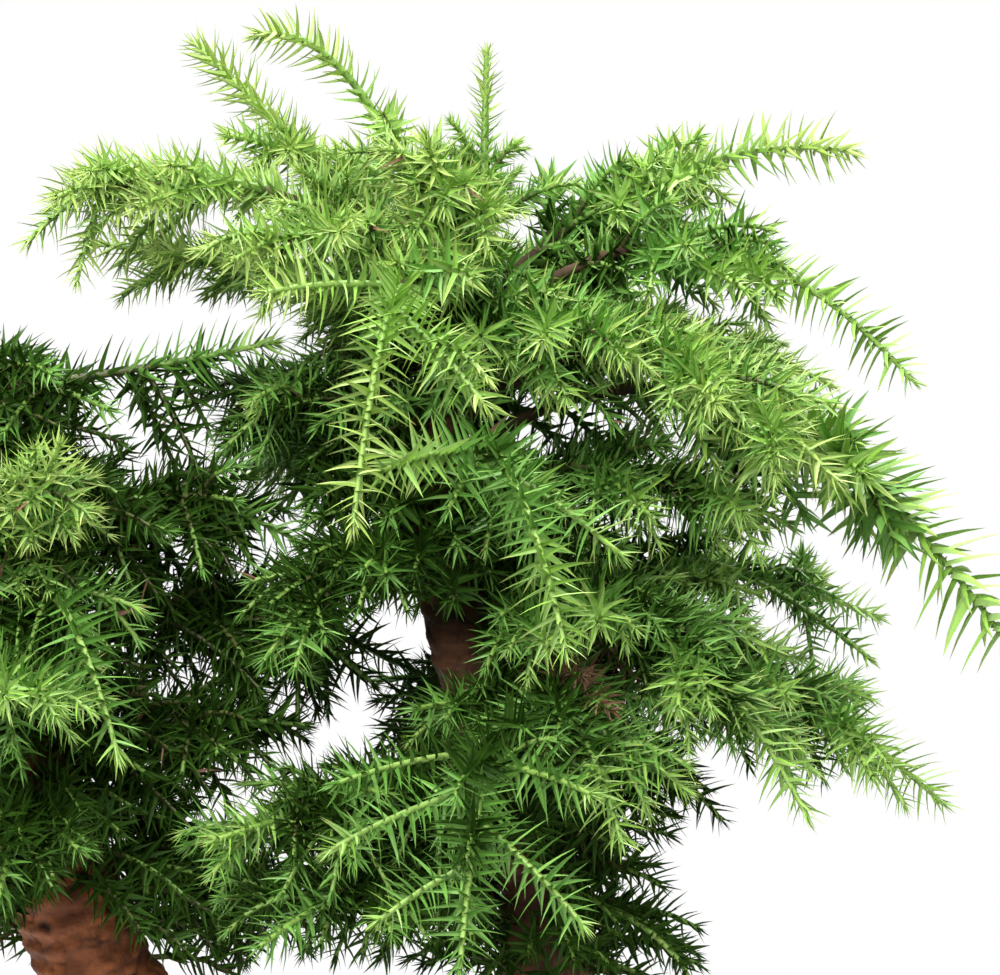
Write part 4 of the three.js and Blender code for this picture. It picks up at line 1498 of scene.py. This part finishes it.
inner = (shoot_orders == INNER_FINE)[needles.shoot]
needle_zones = np.array([zone_of(shoot.bough) for shoot in all_shoots])[needles.shoot]
for zone in sorted(set(needle_zones)):
    chosen = needle_zones == zone
    points, faces, finishes = needle_mesh(chosen & ~inner, SHOWN_BLADE, 0)
    more_points, more_faces, more_finishes = needle_mesh(chosen & inner, INNER_BLADE, len(points))
    points = np.concatenate((points, more_points))
    finishes = np.concatenate((finishes, more_finishes))
    masses = [bough.name + "_foliage" for bough in boughs if zone_of(bough) == zone]
    make_piece("needles_" + zone, points, faces + more_faces, needle_finishes, masses, finishes)

# %% [markdown]
# The pot is a plain tray of unglazed stoneware with rounded corners, a lip and a recessed foot. The
# outline of the solid comes again, with more points round each corner. A square with a bevel would
# give the same rounded corners, but points in rows are easier to stack into walls, and the soil uses
# the outline once more.

# %% Pot outline
POT = dict(length=240, width=162, corner=36, height=54, flare=8, wall=8, floor=10, lip=6)
CORNER_STEPS = 16
SIDE_STEPS = 14
CORNER_SIDES = np.array(((1, 1), (-1, 1), (-1, -1), (1, -1)))


def pot_outline(outset, z):
    """A rounded rectangle round the pot at one level, anticlockwise from the right-hand side."""
    radius = POT["corner"] + outset
    centre = np.array((POT["length"] / 2 - POT["corner"], POT["width"] / 2 - POT["corner"]))
    corners = []
    for quarter, sides in enumerate(CORNER_SIDES):
        turns = math.pi / 2 * (quarter + np.linspace(0, 1, CORNER_STEPS + 1))
        corners.append(sides * centre + radius * np.column_stack((np.cos(turns), np.sin(turns))))
    outline = []
    for corner, following in zip(corners, corners[1:] + corners[:1]):
        start = corner[-1]
        end = following[0]
        between = [start + (end - start) * k / SIDE_STEPS for k in range(1, SIDE_STEPS)]
        outline += list(corner) + between
    return np.column_stack((np.array(outline), np.full(len(outline), z)))


print("an outline of", len(pot_outline(0, 0)), "points")

# %% [markdown]
# The solid has sharp arrises, which no thrown or pressed clay has. A bevel modifier would round them
# all alike, so the profile is drawn again with its own small round at every corner and swept round the
# outline. The clay is a little uneven by hand.

# %% Pot walls
LIP_HEIGHT = 9
FOOT_INSET = 11
FOOT_HEIGHT = 7
FLAT_REACH = 20
FOOT_ROUND, EDGE_ROUND, NECK_ROUND, RIM_ROUND, INSIDE_ROUND = 0.8, 2.2, 1.2, 2.6, 2.0
ROUND_STEPS = 5
UNEVEN = 0.22
UNEVEN_SIZE = 22.0
UNEVEN_FADE = 10


def rounded_profile(corners):
    """Profile points with each corner replaced by a short curve, and how round each point is."""
    made = []
    for before, (outset, z, size), after in zip(corners, corners[1:], corners[2:]):
        here = np.array((outset, z))
        start = here + size * unit(np.array(before[:2]) - here)
        end = here + size * unit(np.array(after[:2]) - here)
        for share in np.linspace(0, 1, ROUND_STEPS):
            point = curve_points((start, here, end), share)
            made.append((point[0], point[1], 4 * share * (1 - share)))
    return made


def closed_faces(rings, sides):
    """Quads between the rings, and one face over the first ring and one over the last."""
    faces = ring_faces(rings, sides).tolist()
    faces.append(list(range(sides))[::-1])
    faces.append(list(range((rings - 1) * sides, rings * sides)))
    return faces


rim = POT["height"]
lip_out = POT["flare"] + POT["lip"]
# From the underside up the outside, over the rim and down to the floor: outset, height, round
profile = rounded_profile([
    (-FOOT_INSET - FLAT_REACH, 0, 0),
    (-FOOT_INSET, 0, FOOT_ROUND),
    (-FOOT_INSET, FOOT_HEIGHT, FOOT_ROUND),
    (0, FOOT_HEIGHT, EDGE_ROUND),
    (POT["flare"], rim - LIP_HEIGHT, NECK_ROUND),
    (lip_out, rim - LIP_HEIGHT, EDGE_ROUND),
    (lip_out, rim, RIM_ROUND),
    (POT["flare"] - POT["wall"], rim, RIM_ROUND),
    (-POT["wall"], POT["floor"], INSIDE_ROUND),
    (-POT["wall"] - FLAT_REACH, POT["floor"], 0),
])
pot_rings = np.array([pot_outline(outset, z) for outset, z, _ in profile])
pot_sides = pot_rings.shape[1]
pot_points = pot_rings.reshape(-1, 3)
uneven = np.array([noise.noise(Vector(point) / UNEVEN_SIZE) for point in pot_points]) * UNEVEN
outward = unit(pot_points * np.array((1, 1, 0)))
above_foot = np.clip((pot_points[:, 2] - FOOT_HEIGHT) / UNEVEN_FADE, 0, 1)
pot_points = pot_points + outward * (uneven * above_foot)[:, None]
print("pot", np.ptp(pot_points, axis=0).round(1).tolist(), "mm")

# %% [markdown]
# Unglazed clay is matt, with a slow drift of tone from the kiln and a paler edge wherever hands and
# cloths rub it. A pointiness node works in one render engine only, so the profile itself says how
# round each point is, and the finish mixes the rubbed tone in by that.

# %% Pot finish
RUBBED_CLAY = (0.2, 0.165, 0.135, 1)
RUBBED_MOST = 0.7
stoneware = new_finish("unglazed_stoneware")
clay = add_tones(stoneware, light=(0.12, 0.1, 0.085), dark=(0.062, 0.054, 0.048), scale=38)
worn = add_node(stoneware.tree, "Attribute", attribute_name="worn")
rubbed = add_node(stoneware.tree, "Mix", data_type="RGBA")
rubbed.inputs["B"].default_value = RUBBED_CLAY
join(stoneware.tree, worn, "Fac", rubbed, "Factor")
join(stoneware.tree, clay, "Color", rubbed, "A")
join(stoneware.tree, rubbed, "Result", stoneware.shader, "Base Color")
add_grain(stoneware, scale=1500, smooth=0.5, rough=0.85, strength=0.35, depth=0.0003)
pot_faces = closed_faces(len(pot_rings), pot_sides)
pot_piece = make_piece("pot_clay", pot_points, pot_faces, [stoneware], ["pot"], smooth=True)
ring_wear = [RUBBED_MOST * roundness for _, _, roundness in profile]
keep_values(pot_piece, "worn", np.repeat(ring_wear, pot_sides))

# %% [markdown]
# Bonsai soil is mounded towards the trunks and never flat. A displaced plane would leave the pot empty
# underneath, so the bed is a closed mesh of rings that shrink to the middle, with the mound and lumps
# of the solid and fine crumbs. It lies a little below the solid's top, which the grains reach instead.

# %% Soil bed
SOIL_BELOW_RIM = 7
SOIL_MOUND = 5
SOIL_FLAT_SHARE = 0.6
SOIL_LUMP = 1.0
SOIL_LUMP_EVERY = 31
SOIL_RINGS = 34
SOIL_MIDDLE = 0.02
CRUMB = 0.5
CRUMB_SIZE = 5.0
GRAIN_BED = 0.5
soil_edge_z = POT["height"] - SOIL_BELOW_RIM


def soil_outset(z):
    return POT["flare"] * (z - POT["floor"]) / (POT["height"] - POT["floor"]) - POT["wall"] - GAP


def soil_level(x, y, share):
    """Height of the soil at points that lie a share of the way from the middle to the edge."""
    wave = 2 * math.pi / (SOIL_LUMP_EVERY * math.sqrt(2))
    rise = np.clip((1 - share) / (1 - SOIL_FLAT_SHARE), 0, 1)
    mound = SOIL_MOUND * rise * rise * (3 - 2 * rise)
    lump = SOIL_LUMP * np.cos(wave * x) * np.cos(wave * y)
    return soil_edge_z + mound + 4 * rise * (1 - rise) * lump - GRAIN_BED


soil_edge = pot_outline(soil_outset(soil_edge_z), soil_edge_z)
soil_rings = [pot_outline(soil_outset(POT["floor"]), POT["floor"] + GAP)]
for share in np.linspace(1, SOIL_MIDDLE, SOIL_RINGS):
    x, y = (soil_edge[:, :2] * share).T
    level_ring = np.column_stack((x, y, soil_level(x, y, share)))
    crumbs = [CRUMB * noise.noise(Vector(point) / CRUMB_SIZE) for point in level_ring]
    soil_rings.append(level_ring + np.outer(crumbs, UP))
earth = new_finish("soil_bed")
add_tones(earth, light=(0.075, 0.05, 0.034), dark=(0.035, 0.024, 0.017), scale=260)
add_grain(earth, scale=1100, smooth=0.85, rough=1.0, strength=0.9, depth=0.0012)
soil_faces = closed_faces(len(soil_rings), len(soil_edge))
make_piece("soil_bed", np.concatenate(soil_rings), soil_faces, [earth], ["soil"], smooth=True)

# %% [markdown]
# The top of the soil is loose grains of baked clay and stone. Equal steps round the edge and towards
# the middle would crowd them at the corners, so a place is drawn by area: first a slice of the bed,
# then a point in it. Places inside a trunk are dropped.

# %% Places of the grains
GRAINS = 3600
GRAIN_REACH = 0.985
GRAIN_CLEAR = 0.5
GRAIN_CLEAR_AT = 2


def grain_places():
    """Places spread evenly over the soil, clear of the trunks."""
    edge = soil_edge[:, :2]
    following = np.roll(edge, -1, axis=0)
    slices = edge[:, 0] * following[:, 1] - edge[:, 1] * following[:, 0]
    spot = random.choice(len(edge), GRAINS, p=slices / slices.sum())
    rim_point = blend_values(edge[spot], following[spot], random.random((GRAINS, 1)))
    share = np.sqrt(random.random(GRAINS)) * GRAIN_REACH
    x, y = (rim_point * share[:, None]).T
    places = np.column_stack((x, y, soil_level(x, y, share)))
    return places[room_beside_limbs(places + UP * GRAIN_CLEAR_AT, trunk_bead_count) > GRAIN_CLEAR]


places = grain_places()
print(len(places), "grains lie clear of the trunks")

# %% [markdown]
# A noise pattern would look like sandpaper from near by, so the grains are real: twenty-sided stones,
# jittered, stretched and turned, that sit in the bed to their middles. They have three tones, and all
# of them are joined into one piece.

# %% Soil grains
GRAIN_RADII = (0.8, 1.9)
GRAIN_STRETCH = (0.75, 1.2)
GRAIN_JITTER = 0.16
GRAIN_TONES = {
    "baked_clay_grain": ((0.2, 0.115, 0.06), (0.12, 0.07, 0.04)),
    "dark_stone_grain": ((0.07, 0.06, 0.052), (0.04, 0.034, 0.03)),
    "pale_stone_grain": ((0.27, 0.23, 0.18), (0.18, 0.15, 0.12)),
}
GRAIN_SHARES = (0.6, 0.28, 0.12)
GOLDEN = (1 + math.sqrt(5)) / 2
STONE_POINTS = unit(np.array([
    (-1, GOLDEN, 0), (1, GOLDEN, 0), (-1, -GOLDEN, 0), (1, -GOLDEN, 0),
    (0, -1, GOLDEN), (0, 1, GOLDEN), (0, -1, -GOLDEN), (0, 1, -GOLDEN),
    (GOLDEN, 0, -1), (GOLDEN, 0, 1), (-GOLDEN, 0, -1), (-GOLDEN, 0, 1),
]))
STONE_FACES = np.array([
    (0, 11, 5), (0, 5, 1), (0, 1, 7), (0, 7, 10), (0, 10, 11),
    (1, 5, 9), (5, 11, 4), (11, 10, 2), (10, 7, 6), (7, 1, 8),
    (3, 9, 4), (3, 4, 2), (3, 2, 6), (3, 6, 8), (3, 8, 9),
    (4, 9, 5), (2, 4, 11), (6, 2, 10), (8, 6, 7), (9, 8, 1),
])


def grain_finish(name, light, dark):
    finish = new_finish(name)
    add_tones(finish, light, dark, scale=400)
    add_grain(finish, scale=2500, smooth=0.8, rough=1.0, strength=0.6, depth=0.0003)
    return finish


count = len(places)
corner_count = len(STONE_POINTS)
radii = random.uniform(*GRAIN_RADII, count)
stretch = random.uniform(*GRAIN_STRETCH, (count, 1, 3))
jitter = 1 + random.uniform(-GRAIN_JITTER, GRAIN_JITTER, (count, corner_count, 1))
turned, _ = np.linalg.qr(random.normal(size=(count, 3, 3)))
turned = turned * np.sign(np.linalg.det(turned))[:, None, None]
stones = np.einsum("nij,nkj->nki", turned, STONE_POINTS[None] * jitter * stretch) * radii[:, None, None]
grain_points = (stones + places[:, None]).reshape(-1, 3)
grain_faces = (STONE_FACES[None] + corner_count * np.arange(count)[:, None, None]).reshape(-1, 3).tolist()
grain_finishes = [grain_finish(name, *tones) for name, tones in GRAIN_TONES.items()]
grain_tints = np.repeat(random.choice(len(GRAIN_TONES), count, p=GRAIN_SHARES), len(STONE_FACES))
make_piece("soil_grains", grain_points, grain_faces, grain_finishes, [], grain_tints)
